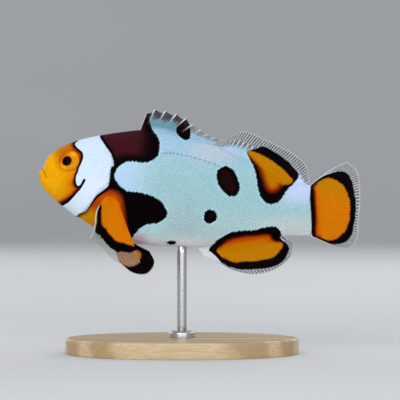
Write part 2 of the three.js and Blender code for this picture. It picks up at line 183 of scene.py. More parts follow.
# ------------------------------------------------------------------ marks
# Outlines of the marks in the side view, (x, z). Both sides of the fish carry them.
FACE = [
    (8.3, 12), (8.9, 8.8), (8.5, 8.3), (8.3, 7.8), (8.7, 7.2), (9.5, 6.6), (10.2, 6.1), (10.6, 5.3),
    (10.6, 4.4), (10.3, 3.2), (9.9, 2.1), (9.7, 0.9), (9.4, 0.1), (9.4, -1.1), (9.7, -2), (10.2, -2.4),
    (10.7, -1.9), (11.1, -0.9), (11.5, -0.4), (11.8, -0.8), (11.4, -1.9), (10.7, -3.3), (10, -4.2),
    (9.5, -5), (8.9, -5.8), (8.1, -6.8), (7.2, -7.5), (6.5, -8.1), (6, -9), (-8, -9), (-8, 12),
]
BAND = [
    (13.6, 12.5), (14.2, 10.2), (15.2, 8.9), (16.1, 7.8), (17, 6.8), (17.7, 5.7), (18.1, 4.7),
    (18.35, 3.7), (18.2, 3.35), (17.8, 3.1), (17.7, 2.2), (17.7, -0.2), (17.4, -1.7), (16.4, -2.8),
    (15.4, -3.7), (14.6, -4.7), (13.8, -6.3), (13, -7.9), (12.5, -8.6), (11.6, -9), (11.1, -9.2),
    (10.6, -9.8), (10.2, -10.4), (9.8, -11.5), (3, -12), (3, 12.5),
]
DARK = [
    (25.6, 19), (26, 16.2), (26.5, 14.6), (27.3, 13), (28.4, 11.8), (29.1, 10.2), (29.2, 8.2),
    (28.7, 6.7), (27.4, 5.6), (25.5, 5), (22.6, 5), (20.6, 4.4), (19.4, 3.1), (18.9, 1.9),
    (18.8, 0.9), (19.4, -0.3), (20.7, -1.6), (22.5, -2.4), (24.8, -2.4), (26.8, -2.6), (29.5, -3.3),
    (31.3, -4.5), (32.7, -6.4), (32.6, -7.8), (31, -9.4), (28.7, -10), (27, -10.8), (25.9, -12),
    (25, -13.4), (24.5, -15), (24.5, -18), (5, -18), (5, 19),
]
CHEST = [
    (15.4, -3.6), (17.2, -2.9), (19.4, -3), (20.9, -4.2), (21.7, -6.6), (22.4, -9.4), (23.1, -12.4),
    (23.4, -17), (8, -17), (10.4, -10.6), (12.9, -9), (13.8, -6.9),
]
OVAL_SPOT = [
    (45.8, 6.3), (44.1, 5.1), (44.2, 2.6), (45.4, 0.5), (47.5, -1), (49.25, -0.65), (50.1, 1.05),
    (49.3, 3.5), (47.9, 5.6),
]
ROUND_SPOT = [
    (43.6, -4.85), (42.3, -5.3), (41.85, -6.6), (42.35, -8.1), (43.75, -8.25), (44.85, -7.4),
    (45.2, -6.3), (44.6, -5.3),
]
BELLY_SPOT = [
    (33.2, -14.15), (34, -13.7), (34.9, -13.5), (35.8, -13.85), (35.3, -14.4), (34.2, -14.6),
]
SPINE_SPOT = [(35.4, 16.9), (36.3, 15), (36.5, 12.6), (35.6, 11.7), (34, 12.2), (32.9, 13.6), (33.3, 15.4)]
DORSAL_MARK = [
    (51, 10.4), (51.9, 8.5), (52.8, 7), (53.5, 5.4), (54, 3.7), (54.5, 1.7), (55.2, 0),
    (56, -1.1), (57.1, -1.8), (58.5, -1.9), (60, -1.2), (61, 0.4), (61.8, 2), (63.3, 3.8),
    (64.3, 5.2), (64.4, 6.1), (63.8, 6.9), (62.5, 8.2), (61, 9.4), (59.2, 10.4), (57.5, 11.2),
    (55.7, 12), (54.2, 12.1), (53, 11.4),
]
DORSAL_CORE = [
    (50.9, 10.6), (52.5, 10.7), (54.8, 10), (56.5, 9.3), (58.6, 8.2), (60.6, 6.9), (61.9, 5.7),
    (63.1, 4.6), (62.3, 3.5), (60.8, 3), (60.1, 1.8), (59.2, 1), (58.2, 0.7), (57, 0.9),
    (55.9, 2.2), (55, 4.2), (54.1, 6.1), (53.1, 7.6), (51.9, 9),
]
ANAL_MARK = [
    (44.1, -15), (44.8, -13.5), (46.3, -11.8), (48.4, -10.2), (50.5, -9.5), (52.4, -9.1),
    (54.6, -8.8), (56.7, -8), (58.9, -7.4), (60.3, -7.5), (61.1, -8.3), (61.6, -9.3), (61.4, -9.8),
    (62.2, -10.7), (63.2, -11.3), (63.9, -12.3), (63.8, -13.6), (63.3, -15.1), (62.1, -16.4),
    (60, -17.6), (57.3, -18.3), (54.5, -18.8), (51.8, -18.9), (49.5, -18.6), (47.8, -17.9),
    (46.6, -16.8), (45.3, -15.7),
]
ANAL_CORE = [
    (46, -14.9), (46.7, -13.5), (47.9, -12.1), (49.9, -11.1), (52.6, -10.3), (55.3, -9.8),
    (57.7, -9.3), (59, -9.5), (59.6, -10.3), (60.7, -10.9), (61.9, -11.2), (62.3, -12),
    (61.9, -13.1), (60.8, -14.6), (59.2, -15.5), (57, -16.2), (55.1, -16.7), (53.2, -16.9),
    (51.3, -17.3), (49.4, -17.1), (47.6, -16.4), (46.6, -15.7),
]
TAIL_MARK = [
    (67.5, 3), (67.9, 4), (70.1, 6.1), (72, 7.2), (74.6, 8), (76.3, 7.7), (77.4, 6.5), (78.3, 4.4),
    (79, 1.8), (79.45, -1.2), (79.45, -4.2), (79.25, -6.5), (78.5, -8.6), (77, -9.9), (75, -10.3),
    (72.5, -10), (70.4, -9.3), (69.2, -8.6), (68.8, -6.6), (68.3, -3.3), (67.7, 0),
]
TAIL_CORE = [
    (68.2, 3.7), (69.5, 4.9), (71.1, 5.9), (72.8, 6), (74.9, 5.2), (76.3, 3.9), (77.2, 2.3), (77.8, 0.4),
    (78.1, -2.3), (78.1, -4.3), (77.5, -6.3), (76.6, -7.6), (75.3, -9), (73.6, -9.5), (71.7, -9.1),
    (70.2, -8.8), (69.7, -7.1), (69.6, -5.1), (69.3, -2.9), (68.8, -0.6), (68.4, 1.7),
]
LATERAL_LINE = [
    (26.5, 7.7), (29.3, 7.8), (32.5, 8.1), (36.9, 7.7), (41.3, 6.9), (45, 6), (48.6, 4.9),
]
MARKS = {
    "face": [FACE],
    "band": [BAND],
    "dark": [DARK],
    "chest": [CHEST],
    "spot": [OVAL_SPOT, ROUND_SPOT, BELLY_SPOT, SPINE_SPOT, DORSAL_MARK, ANAL_MARK, TAIL_MARK],
    "core": [DORSAL_CORE, ANAL_CORE, TAIL_CORE],
}
FAR = 9.0  # distances beyond this aren't told apart
MARGIN = 2.5  # how far round a mark its distances are worked out
VIEW = {"centre": np.array([40.6, -2.8]), "distance": 480.0}


def side_view(points):
    """Where (x, y, z) points appear in the side view, seen from the camera's distance."""
    flat = points[:, [0, 2]]
    return flat + (flat - VIEW["centre"]) * np.abs(points[:, 1:2]) / VIEW["distance"]


def ember(flat):
    """1 in the half of an orange mark near the body, which reddens and darkens to its rim."""
    x, z = flat[:, 0], flat[:, 1]
    anal = ramp(z + 15.2 - (x - 46) * 0.2, 0.3, 1.5)
    dorsal = ramp((51.2 - x) * 0.584 + (10.6 - z) * 0.812, 0, 1.2)
    tail = ramp(-x - 0.18 * (z + 2.7), -71, -70)
    return np.where(x > 66, tail, np.where(z < -5, anal, dorsal)) * (x > 40)


def body_marks(points):
    """For points of the fish, the signed distance in the side view from each kind of mark."""
    flat = side_view(points)
    found = {"ember": ember(flat)}
    for name, outlines in MARKS.items():
        nearest = np.full(len(flat), FAR)
        for outline in outlines:
            near = np.all((flat > np.min(outline, 0) - MARGIN) & (flat < np.max(outline, 0) + MARGIN), 1)
            nearest[near] = np.minimum(nearest[near], outline_distance(flat[near], outline))
        found[name] = np.clip(nearest, -FAR, FAR)
    return found


# ------------------------------------------------------------------ the body's surface
BACK = [row[0] for row in SKIN_ROWS]
BELLY = [row[1] for row in SKIN_ROWS]
FLANK = [row[2] for row in SKIN_ROWS]


def body_rings(t, theta):
    """Points of the body: t from the lips to the tail, theta round it from the back over the right side."""
    back, belly, flank = (spline(line, t)[:, None] for line in (BACK, BELLY, FLANK))
    up, across = np.cos(theta)[None], np.sin(theta)[None]
    last = len(SKIN_ROWS) - 1
    sharp = (RIDGE[0] + (RIDGE[1] - RIDGE[0]) * np.clip((t * last - 1) / (last - 1), 0, 1))[:, None]
    edge = np.where((up > 0)[..., None], back, belly)
    soft = 0.2  # how gently a ring bends forwards or backwards at the flank
    bend = (np.sqrt(up**2 + soft**2) - soft) / (math.sqrt(1 + soft**2) - soft)
    x = flank[..., 0] + (edge[..., 0] - flank[..., 0]) * bend
    z = flank[..., 2] + (edge[..., 1] - flank[..., 2]) * np.abs(up)
    y = flank[..., 1] * np.sign(across) * np.abs(across) ** sharp
    return np.stack([x, y, z], -1)


def grid_normals(grid):
    """Outward normals of a grid of rings."""
    along = np.gradient(grid, axis=0)
    wrapped = np.concatenate([grid[:, -1:], grid, grid[:, :1]], 1)
    around = np.gradient(wrapped, axis=1)[:, 1:-1]
    return unit(np.cross(along, around))


def even_steps(spacing):
    """Values of t with rings that are spacing(x) millimetres apart."""
    t = np.linspace(0, 1, 4001)
    back, flank = spline(BACK, t), spline(FLANK, t)
    middle = (back + spline(BELLY, t)) / 2
    run = length(np.gradient(back, axis=0)) + length(np.gradient(flank, axis=0))
    total = np.concatenate([[0], np.cumsum((run / 2 / spacing(middle[:, 0]))[1:])])
    count = int(total[-1])
    return np.interp(np.arange(count + 1) * total[-1] / count, total, t)


def side_distance(points, x, z):
    """How far (x, y, z) points are from (x, z) in the side view."""
    return np.hypot(points[:, 0] - x, points[:, 2] - z)


def relief(points):
    """How far the head's features stand out of the smooth body, in millimetres."""
    flat = points[:, [0, 2]]
    rim, behind = polyline_distance(flat, curve(GILL_RIM, 60))
    rim = rim * behind
    cheek, _ = polyline_distance(flat, curve(CHEEK_RIM, 40))
    jaw, _ = polyline_distance(flat, curve(JAW_LINE, 12))
    fold, _ = polyline_distance(flat, np.array(LIP_FOLD))
    eye = side_distance(points, EYE["x"], EYE["z"]) - EYE["radius"]
    nostril = side_distance(points, *NOSTRIL)
    # The gill cover rises to its rim, a slit lies behind it, and the eye has a socket with a lid.
    cover = 0.17 * ramp(-rim, 0.02, 0.16) * (1 - ramp(-rim, 0.5, 3.2))
    slit = 0.26 * ramp(rim, -0.02, 0.08) * (1 - ramp(rim, 0.15, 1.1))
    socket = 1.3 * (1 - ramp(eye, -0.25, 0.03))
    high = cover - slit - socket + bead(eye - 0.25, 0.03, 0.25)
    high += bead(cheek, -0.1, 0.17) + bead(jaw, -0.07, 0.2) + bead(fold, 0.1, 0.3)
    return high + bead(nostril - 0.3, 0.09, 0.11) + bead(nostril, -0.3, 0.16)


# ------------------------------------------------------------------ meshes
def make_mesh(name, points, blocks, attributes=None, uv=None, row=True):
    """A smooth mesh object. Each block is an array of faces, with as many corners to each face."""
    mesh = bpy.data.meshes.new(name)
    corners = np.concatenate([block.ravel() for block in blocks]).astype(np.int32)
    sizes = np.concatenate([np.full(len(block), block.shape[1]) for block in blocks])
    starts = np.concatenate([[0], np.cumsum(sizes)[:-1]]).astype(np.int32)
    placed = to_row(points) if row else np.asarray(points) * MM
    mesh.vertices.add(len(points))
    mesh.vertices.foreach_set("co", placed.astype(np.float32).ravel())
    mesh.loops.add(len(corners))
    mesh.loops.foreach_set("vertex_index", corners)
    mesh.polygons.add(len(sizes))
    mesh.polygons.foreach_set("loop_start", starts)
    mesh.polygons.foreach_set("use_smooth", np.full(len(sizes), True))
    for key, values in (attributes or {}).items():
        values = np.asarray(values, np.float32)
        kind, field = ("FLOAT", "value") if values.ndim == 1 else ("FLOAT_VECTOR", "vector")
        mesh.attributes.new(key, kind, "POINT").data.foreach_set(field, values.ravel())
    if uv is not None:
        per_corner = uv[corners] if len(uv) == len(points) else uv
        mesh.uv_layers.new(name="OFBake").data.foreach_set("uv", np.asarray(per_corner, np.float32).ravel())
    mesh.update(calc_edges=True)
    mesh.validate()
    obj = bpy.data.objects.new(name, mesh)
    bpy.context.scene.collection.objects.link(obj)
    return obj


def grid_faces(rows, columns, wrap=False):
    """Quads of a grid of points laid out row by row."""
    r, c = np.meshgrid(np.arange(rows - 1), np.arange(columns if wrap else columns - 1), indexing="ij")
    after = (c + 1) % columns
    low, high = r * columns, (r + 1) * columns
    return np.stack([low + c, low + after, high + after, high + c], -1).reshape(-1, 4)


def fan(ring, middle):
    """Triangles between a closed ring of points and the point in its middle."""
    return np.stack([ring, np.roll(ring, -1), np.full(len(ring), middle)], 1)


def finish_piece(obj, material, slot, *nodes):
    """Gives a piece its material and hides the nodes of the source that it replaces. slot is not used."""
    obj.data.materials.append(material)
    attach(obj, "root")
    if nodes:
        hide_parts(*nodes)
    return obj


# ------------------------------------------------------------------ materials
def srgb(*screen):
    """A colour from its 0 to 255 screen values."""
    share = [value / 255 for value in screen]
    return tuple(c / 12.92 if c <= 0.04 else ((c + 0.055) / 1.055) ** 2.4 for c in share) + (1.0,)


class Value:
    """One output of a node, with arithmetic that adds the nodes for it."""

    def __init__(self, paint, socket):
        self.paint = paint
        self.socket = socket

    def __add__(self, other):
        return self.paint.math("ADD", self, other)

    def __radd__(self, other):
        return self.paint.math("ADD", other, self)

    def __sub__(self, other):
        return self.paint.math("SUBTRACT", self, other)

    def __mul__(self, other):
        return self.paint.math("MULTIPLY", self, other)

    def __neg__(self):
        return self * -1

    def __abs__(self):
        return self.paint.math("ABSOLUTE", self)


class Paint:
    """Builds one node material. What goes into a node can be a number, a colour or a Value."""

    def __init__(self, name):
        self.material = bpy.data.materials.new(name)
        self.material.use_nodes = True
        self.tree = self.material.node_tree
        self.shader = self.tree.nodes["Principled BSDF"]

    def add(self, kind, inputs, output=0, **settings):
        """Adds a node and returns one of its outputs."""
        node = self.tree.nodes.new(kind)
        step = len(self.tree.nodes)
        node.location = (-200 * (step % 12) - 300, -180 * (step // 12))
        for key, value in settings.items():
            setattr(node, key, value)
        for key, value in inputs.items():
            self.put(node.inputs[key], value)
        return Value(self, node.outputs[output])

    def put(self, socket, value):
        if isinstance(value, Value):
            self.tree.links.new(value.socket, socket)
        else:
            socket.default_value = value

    def attribute(self, name, output="Fac"):
        return self.add("ShaderNodeAttribute", {}, output, attribute_name=name)

    def math(self, operation, a, b=0, clamp=False):
        return self.add("ShaderNodeMath", {0: a, 1: b}, operation=operation, use_clamp=clamp)

    def fade(self, value, low, high, to_low=0, to_high=1):
        """to_low where value is under low, to_high where it is over high, smooth in between."""
        inputs = {"Value": value, "From Min": low, "From Max": high, "To Min": to_low, "To Max": to_high}
        return self.add("ShaderNodeMapRange", inputs, interpolation_type="SMOOTHSTEP")

    def mix(self, share, a, b, blend="MIX"):
        return self.add("ShaderNodeMix", {0: share, 6: a, 7: b}, 2, data_type="RGBA", blend_type=blend)

    def noise(self, vector, scale, detail, roughness=0.5):
        inputs = {"Vector": vector, "Scale": scale, "Detail": detail, "Roughness": roughness}
        return self.add("ShaderNodeTexNoise", inputs, "Fac")

    def place(self):
        return self.add("ShaderNodeTexCoord", {}, "Object")

    def stretched(self, vector, scale):
        """The vector with each axis scaled."""
        return self.add("ShaderNodeMapping", {"Vector": vector, "Scale": scale})

    def parts(self, vector):
        """The x, y and z of a vector."""
        node = self.add("ShaderNodeSeparateXYZ", {"Vector": vector}).socket.node
        return [Value(self, output) for output in node.outputs]

    def near(self, fish, x, z, squash=1):
        """How far a place is from (x, z) in the side view, with distances along x squashed."""
        shift = self.add("ShaderNodeVectorMath", {0: fish, 1: (x, 0, z)}, operation="SUBTRACT")
        flat = self.stretched(shift, (squash, 0, 1))
        return self.add("ShaderNodeVectorMath", {0: flat}, "Value", operation="LENGTH")

    def bump(self, height, strength, distance):
        inputs = {"Height": height, "Strength": strength, "Distance": distance}
        self.put(self.shader.inputs["Normal"], self.add("ShaderNodeBump", inputs))

    def set(self, **inputs):
        for key, value in inputs.items():
            self.put(self.shader.inputs[key.replace("_", " ")], value)
        return self.material


SPECULAR = 0.02  # a dull skin, as under water
BLACK = srgb(5, 1, 3)
FACE_YELLOW = srgb(236, 166, 6)
FACE_ORANGE = srgb(226, 146, 2)
FACE_BROWN = srgb(188, 114, 2)
# Gold of the painted highlight streaks on the face.
FACE_HIGHLIGHT = srgb(242, 182, 36)
BAND_WHITE = srgb(216, 232, 252)
BODY_CYAN = srgb(157, 198, 204)
BODY_BLUE = srgb(162, 195, 223)
BODY_SKY = srgb(186, 214, 244)
BODY_LILAC = srgb(196, 210, 246)
BODY_GREY = srgb(198, 204, 205)
BODY_PINK = srgb(226, 214, 222)
BODY_DUSK = srgb(167, 194, 198)
BODY_FROST = srgb(178, 214, 218)
BODY_MIST = srgb(190, 198, 214)
# The belly's pale colour, lightened further as painted light against the shade on the underside.
BELLY_WHITE = srgb(222, 222, 228)
BREAST_PINK = srgb(200, 164, 178)
MAROON = srgb(62, 18, 28)
RED_ORANGE = srgb(184, 62, 6)
DARK_RED = srgb(96, 12, 6)
# Brown of the painted shade round the eye's socket.
SOCKET_SHADE = srgb(190, 102, 0)
CHEEK_ORANGE = srgb(214, 118, 0)
CHEST_ORANGE = srgb(222, 146, 2)
CORE_ORANGE = srgb(207, 114, 0)
CORE_GOLD = srgb(188, 120, 0)
CORE_RED = srgb(206, 78, 2)
CORE_BROWN = srgb(84, 14, 2)
GLOW = srgb(172, 224, 236)
FIN_RAY = srgb(198, 201, 205)
FIN_RIM = srgb(206, 204, 208)
FIN_SHEATH = srgb(84, 138, 148)


def white_colour(p, fish, x, z):
    """The white of the body, with its blue, lilac, grey and pink tones."""
    tilted = z + x * -0.16
    colour = p.mix(p.fade(z, 2, 12, 0, 0.85), BODY_CYAN, BODY_BLUE)
    dusk = p.fade(x, 29, 37) * p.fade(x, 38, 46, 1, 0.5)
    colour = p.mix(p.fade(z, -1, -8, 0, 0.9), colour, p.mix(dusk, BODY_FROST, BODY_DUSK))
    colour = p.mix(p.fade(p.near(fish, 42.5, 9, 0.4), 3.6, 0.8, 0, 0.75), colour, BODY_MIST)
    colour = p.mix(p.fade(x, 31, 21, 0, 0.9), colour, BODY_SKY)
    colour = p.mix(p.fade(x, 57.5, 64.5) * p.fade(tilted, -13.6, -8.6), colour, BODY_LILAC)
    # The belly is paler than the flank, and painted paler still to make up for the shade on its underside:
    # part its own colour, part painted light.
    belly = p.mix(p.fade(x, 46, 60), BELLY_WHITE, BODY_GREY)
    lower = p.fade(x, 36, 45, 3, 4.6) * p.fade(x, 48, 60, 1, 0)
    colour = p.mix(p.fade(tilted + lower, -12.5, -18.5), colour, belly)
    crest = p.fade(p.near(fish, 41.5, 9.2, 0.4), 2.9, 1, 0, 0.3)
    pink = p.math("MAXIMUM", p.fade(tilted, -17.5, -20.5), crest)
    colour = p.mix(p.fade(p.noise(fish, 0.11, 2), 0.46, 0.64, 0, 0.6) * pink, colour, BODY_PINK)
    colour = p.mix(p.fade(p.noise(fish, 1.6, 3), 0.35, 0.75, 0, 0.1), colour, BAND_WHITE)
    return p.mix(p.fade(p.near(fish, 26.6, -14, 0.7), 2.1, 0.5, 0, 0.8), colour, BREAST_PINK)


def dark_colour(p, x, z, depth):
    """The patch behind the head, black at its rim and maroon inside and above."""
    maroon = p.fade(depth, 0.7, 2.8) * p.fade(z, 3.5, 8, 0, 1)
    return p.mix(maroon * p.fade(x, 27, 23, 0.08, 1), BLACK, MAROON)


def chest_colour(p, x, z, depth):
    """The orange chest, red at its rim."""
    colour = p.mix(p.fade(depth, 0.6, p.fade(x, 16.5, 19.5, 3.2, 1.8)), RED_ORANGE, CORE_ORANGE)
    return p.mix(p.fade(x, 19, 16) * p.fade(z, -6.5, -9.5), colour, CHEST_ORANGE)


def face_colour(p, fish, x, z, depth, line):
    """The yellow face, with its darker brow and cheek, and painted shade round the eye socket. It reddens
    outwards up to the line.
    """
    colour = p.mix(p.fade(x, 2.5, 9, 0, 0.85), FACE_YELLOW, FACE_ORANGE)
    colour = p.mix(p.fade(x, 6, 9) * p.fade(z, 1, -1, 0.2, 0.6), colour, CHEEK_ORANGE)
    # Painted highlights: lighter gold streaks, drawn out up and down and scattered at random, strongest near
    # the snout.
    highlight_streaks = p.noise(p.stretched(fish, (1.7, 1, 0.8)), 1, 2)
    highlight_streaks = p.fade(highlight_streaks, 0.52, 0.66, 0, 0.4) * p.fade(x, 7, 4.5, 0.3, 1)
    colour = p.mix(highlight_streaks, colour, FACE_HIGHLIGHT)
    colour = p.mix(p.fade(z + x * 0.25, 4.2, 7.2, 0, 0.9), colour, FACE_BROWN)
    # Painted shade: the face darkens round the eye's socket, about a point a little ahead of and above the
    # eye's middle.
    socket = p.fade(p.near(fish, EYE["x"] - 0.4, EYE["z"] + 0.2), 3.7, 2.7, 0, 0.5)
    colour = p.mix(socket, colour, SOCKET_SHADE)
    flush = line + p.math("MAXIMUM", p.fade(z, -0.2, -2), p.fade(z, 2.5, 4.5))
    colour = p.mix(p.fade(depth, flush + 0.9, line, 0, 0.7), colour, RED_ORANGE)
    return p.mix(p.fade(depth, flush, line), colour, DARK_RED)


def core_colour(p, x, z, depth):
    """The orange marks inside the black ones at the tail and on the fins, reddest near the body."""
    ember = p.attribute("ember")
    gold = p.math("MAXIMUM", p.fade(x, 68, 66), p.fade(z, -0.5, 5))
    colour = p.mix(gold * p.fade(x, 40, 42), CORE_ORANGE, CORE_GOLD)
    deep = ember * p.fade(depth, 2.6, 0.8)
    deep = deep * (p.fade(z, 4.5, 1.5, 0.35, 1) * p.fade(x, 65, 67, 1, 0.5))
    colour = p.mix(deep, colour, CORE_RED)
    broader = p.fade(z, -9, -7) * p.fade(x, 67, 65, 0, 0.9)
    brown = ember * p.fade(depth, broader + 1, 0.1)
    rim = p.fade(depth, 0.35, 0, 0, 0.6)
    return p.mix(p.math("MAXIMUM", brown, rim), colour, CORE_BROWN)


def body_colour(p, sharpness):
    """The colours of skin and scales, from the marks' distances. sharpness is the width of an edge."""
    fish = p.attribute("fish", "Vector")
    x, _, z = p.parts(fish)
    d = {name: p.attribute(name) for name in MARKS}
    colour = white_colour(p, fish, x, z)
    glow = p.fade(p.math("MINIMUM", d["spot"], d["dark"]), 0.7, 0.1)
    colour = p.mix(glow * p.fade(x, 56, 63, 0.45, 0.15), colour, GLOW)
    colour = p.mix(p.fade(d["dark"], sharpness, -sharpness), colour, dark_colour(p, x, z, -d["dark"]))
    colour = p.mix(p.fade(d["chest"], 0.9, -0.8), colour, chest_colour(p, x, z, -d["chest"]))

    behind = p.fade(z, -9.5, -2, 0.12, 0.7)
    colour = p.mix(p.fade(d["band"], behind + 0.15, behind), colour, BLACK)
    # Painted light: the white band is painted lighter towards its bottom, where less light reaches it, so
    # that it looks evenly white.
    band = p.mix(p.fade(z, -8, 8), srgb(224, 238, 254), srgb(208, 226, 248))
    colour = p.mix(p.fade(d["band"], sharpness, -sharpness), colour, band)

    depth = -d["face"]
    line = p.fade(z, -4.5, -6.5, 0.42, 0.8)
    colour = p.mix(p.fade(d["face"], 0.08, -0.08), colour, BLACK)
    colour = p.mix(p.fade(depth - line, -0.05, 0.2), colour, face_colour(p, fish, x, z, depth, line))

    middle = p.fade(d["spot"], -0.4, -1.8) * p.fade(x, 52, 50)
    spot = p.mix(middle * p.fade(x, 31.8, 32.8), BLACK, srgb(30, 4, 6))
    colour = p.mix(p.fade(d["spot"], sharpness, -sharpness), colour, spot)
    colour = p.mix(p.fade(d["core"], 0.12, -0.12), colour, core_colour(p, x, z, -d["core"]))
    return colour, fish


def skin_material():
    p = Paint("fish_skin")
    colour, fish = body_colour(p, 0.1)
    colour = p.mix(p.attribute("mouth"), colour, srgb(110, 44, 22))
    p.bump(p.noise(fish, 5, 4), 0.25, 0.00005)
    return p.set(Base_Color=colour, Roughness=0.36, Specular_IOR_Level=SPECULAR)


def scale_material():
    p = Paint("fish_scales")
    colour, fish = body_colour(p, 0.16)
    lie = p.attribute("lie")
    tint = p.attribute("tint")
    x = p.parts(fish)[0]
    coarse = p.fade(x, 11, 20, 0.15, 1)
    # Painted shade and highlight: each scale darkens towards its root, which lies under the scale before it,
    # and lightens at its raised tip, less so on the small scales of the head. tint gives each scale a tone of
    # its own at random.
    edge = p.fade(lie, 0.55, 0.95, -0.06, 0.06) * coarse
    value = 1.0 + edge + tint * 0.018
    colour = p.mix(1, colour, value, "MULTIPLY")
    pore = p.fade(abs(p.attribute("line")), 0.17, 0.06) * p.fade(lie, 0.3, 0.45, 0, 0.75)
    clear_of = p.math("MINIMUM", p.attribute("dark"), p.attribute("spot"))
    pore = pore * p.fade(clear_of, 0.2, 0.6, 0, 0.75)
    colour = p.mix(pore, colour, srgb(96, 108, 120))
    rough = p.fade(p.noise(fish, 2.2, 2), 0.3, 0.7, 0.3, 0.46)
    p.bump(p.noise(p.stretched(fish, (2, 2, 9)), 3, 2), 0.2, 0.00003)
    return p.set(Base_Color=colour, Roughness=rough, Specular_IOR_Level=SPECULAR)


# ------------------------------------------------------------------ skin
RING = 232  # points round the body
SLENDER = 0.55  # the body's width for its height, about which the points of a ring are spaced


def ring_spacing(x):
    """Millimetres from ring to ring: closest at the lips, wider behind the face."""
    return 0.15 + 0.23 * ramp(x, 11, 20) - 0.03 * (1 - ramp(x, 1, 3.5))


def body_grid():
    """The skin as a grid of rings with its normals, with the head's relief and without it."""
    t = even_steps(ring_spacing)
    turn = np.linspace(0, 2 * math.pi, 2001)
    arc = np.concatenate([[0], np.cumsum(np.hypot(SLENDER * np.cos(turn[1:]), np.sin(turn[1:])))])
    theta = np.interp(np.arange(RING) * arc[-1] / RING, arc, turn)
    smooth = body_rings(t, theta)
    normal = grid_normals(smooth)
    smooth = smooth - normal * COAT
    high = relief(smooth.reshape(-1, 3)).reshape(smooth.shape[:2])
    finished = smooth + normal * high[..., None]
    return finished, grid_normals(finished), smooth, normal


def build_skin(grid, material):
    """The skin, closed by a cap at the tail's root and, at the nose, by the lining of the mouth."""
    mouth = []
    for depth, squeeze in ((0.9, 0.75), (0.5, 0.86), (0.22, 0.95)):
        centre = grid[0].mean(0) * (1, 0, 1)
        mouth.append(centre + (grid[0] - centre) * squeeze + (depth, 0, 0))
    grid = np.concatenate([mouth, grid])
    rows = len(grid)
    points = np.vstack([grid.reshape(-1, 3), grid[0].mean(0), grid[-1].mean(0)])
    marks = {**body_marks(points), "fish": points}
    in_mouth = np.repeat(np.arange(rows) < len(mouth), RING)
    marks["mouth"] = np.append(in_mouth, [True, False])

    ring = np.arange(RING)
    sides = grid_faces(rows, RING, wrap=True)[:, ::-1]
    caps = np.vstack([fan(ring, rows * RING), fan((rows - 1) * RING + ring, rows * RING + 1)[:, ::-1]])
    row_of, column_of = np.divmod(np.arange(rows * RING), RING)
    place = np.vstack([np.stack([row_of / (rows - 1), column_of / RING], 1), (0, 0.5), (1, 0.5)])
    uv = place[sides]
    seam = np.ptp(uv[..., 1], axis=1) > 0.5
    uv[seam, :, 1] += uv[seam, :, 1] < 0.5
    uv = np.concatenate([uv.reshape(-1, 2), place[caps].reshape(-1, 2)]) * 0.98 + 0.01
    skin = make_mesh("skin", points, [sides, caps], marks, uv)
    flesh = ["head", "upper_lip", "lower_jaw", "gill_cover_left", "gill_cover_right", "trunk", "tail_stalk"]
    return finish_piece(skin, material, "skin", *flesh)


# ------------------------------------------------------------------ scales
# The front of the face, which is bare, in the side view.
BARE = [
    (-3, 9), (5.2, 10), (5.4, 6.9), (8.6, 6.7), (10.05, 4.9), (10.05, 2.6), (9.1, 0.5), (6.8, -0.1),
    (5.6, -2), (4.9, -6), (4.4, -9.5), (-3, -9.5),
]
SCALED = (6.2, 69.2)  # from where to where the columns of scales run
COLUMN = 0.6  # of a row's height, from one column of scales to the next
REACH = 34  # rows of the lattice above and below the middle of the flank
LATTICE = 12  # samples of the surface per step of the lattice
RIBS = ((-0.75, 0.34), (-0.3, 0.5), (0.35, 0.55), (0.85, 0.42), (1.12, 0.16))  # along, half width
ZONES = {"head": 0, "flank": 19, "rear": 38}  # where each piece of the scales begins


def scale_size(x):
    """Height of a row of scales: smallest on the face, smaller again at the tail's root."""
    return 0.42 + 0.4 * ramp(x, 7, 21) - 0.2 * ramp(x, 48, 70)


def scale_lattice(grid, normal):
    """Place and normal on the right side all over the lattice, and each column's first and last row."""
    quarter = int(np.argmax(grid[len(grid) // 2, : RING // 2, 1]))
    flank_x = grid[:, quarter, 0]
    x = [SCALED[0]]
    while x[-1] < SCALED[1]:
        x.append(x[-1] + COLUMN * scale_size(x[-1]))
    columns = len(x) - 1
    fine_x = np.interp(np.arange(columns * LATTICE + 1) / LATTICE, np.arange(columns + 1), x)
    ring_of = np.interp(fine_x, flank_x, np.arange(len(grid)))
    wrap = np.arange(-16, RING // 2 + 17)
    k = np.arange(-REACH * LATTICE, REACH * LATTICE + 1) / LATTICE
    table = np.empty((len(fine_x), len(k), 6))
    bounds = np.empty((len(fine_x), 2))
    both = np.concatenate([grid, normal], -1)
    for i, (place, here) in enumerate(zip(ring_of, fine_x)):
        low = min(int(place), len(grid) - 2)
        ring = between(both[low], both[low + 1], place - low)[wrap % RING]
        arc = run_along(ring[:, :3])
        arc = (arc - np.interp(quarter, wrap, arc)) / scale_size(here)
        bounds[i] = np.interp([0, RING // 2], wrap, arc)
        for axis in range(6):
            table[i, :, axis] = np.interp(k, arc, ring[:, axis])
    return table, bounds


def sample_lattice(table, s, k):
    """Place and normal at lattice coordinates s (along) and k (round)."""
    a = np.clip(s * LATTICE, 0, table.shape[0] - 1.001)
    b = np.clip((k + REACH) * LATTICE, 0, table.shape[1] - 1.001)
    i, j = a.astype(int), b.astype(int)
    u, v = (a - i)[..., None], (b - j)[..., None]
    low = between(table[i, j], table[i, j + 1], v)
    high = between(table[i + 1, j], table[i + 1, j + 1], v)
    found = between(low, high, u)
    return found[..., :3], found[..., 3:]


def along_scale(along):
    """0 at a scale's root and 1 at its tip."""
    root, tip = RIBS[0][0], RIBS[-1][0]
    return (along - root) / (tip - root)


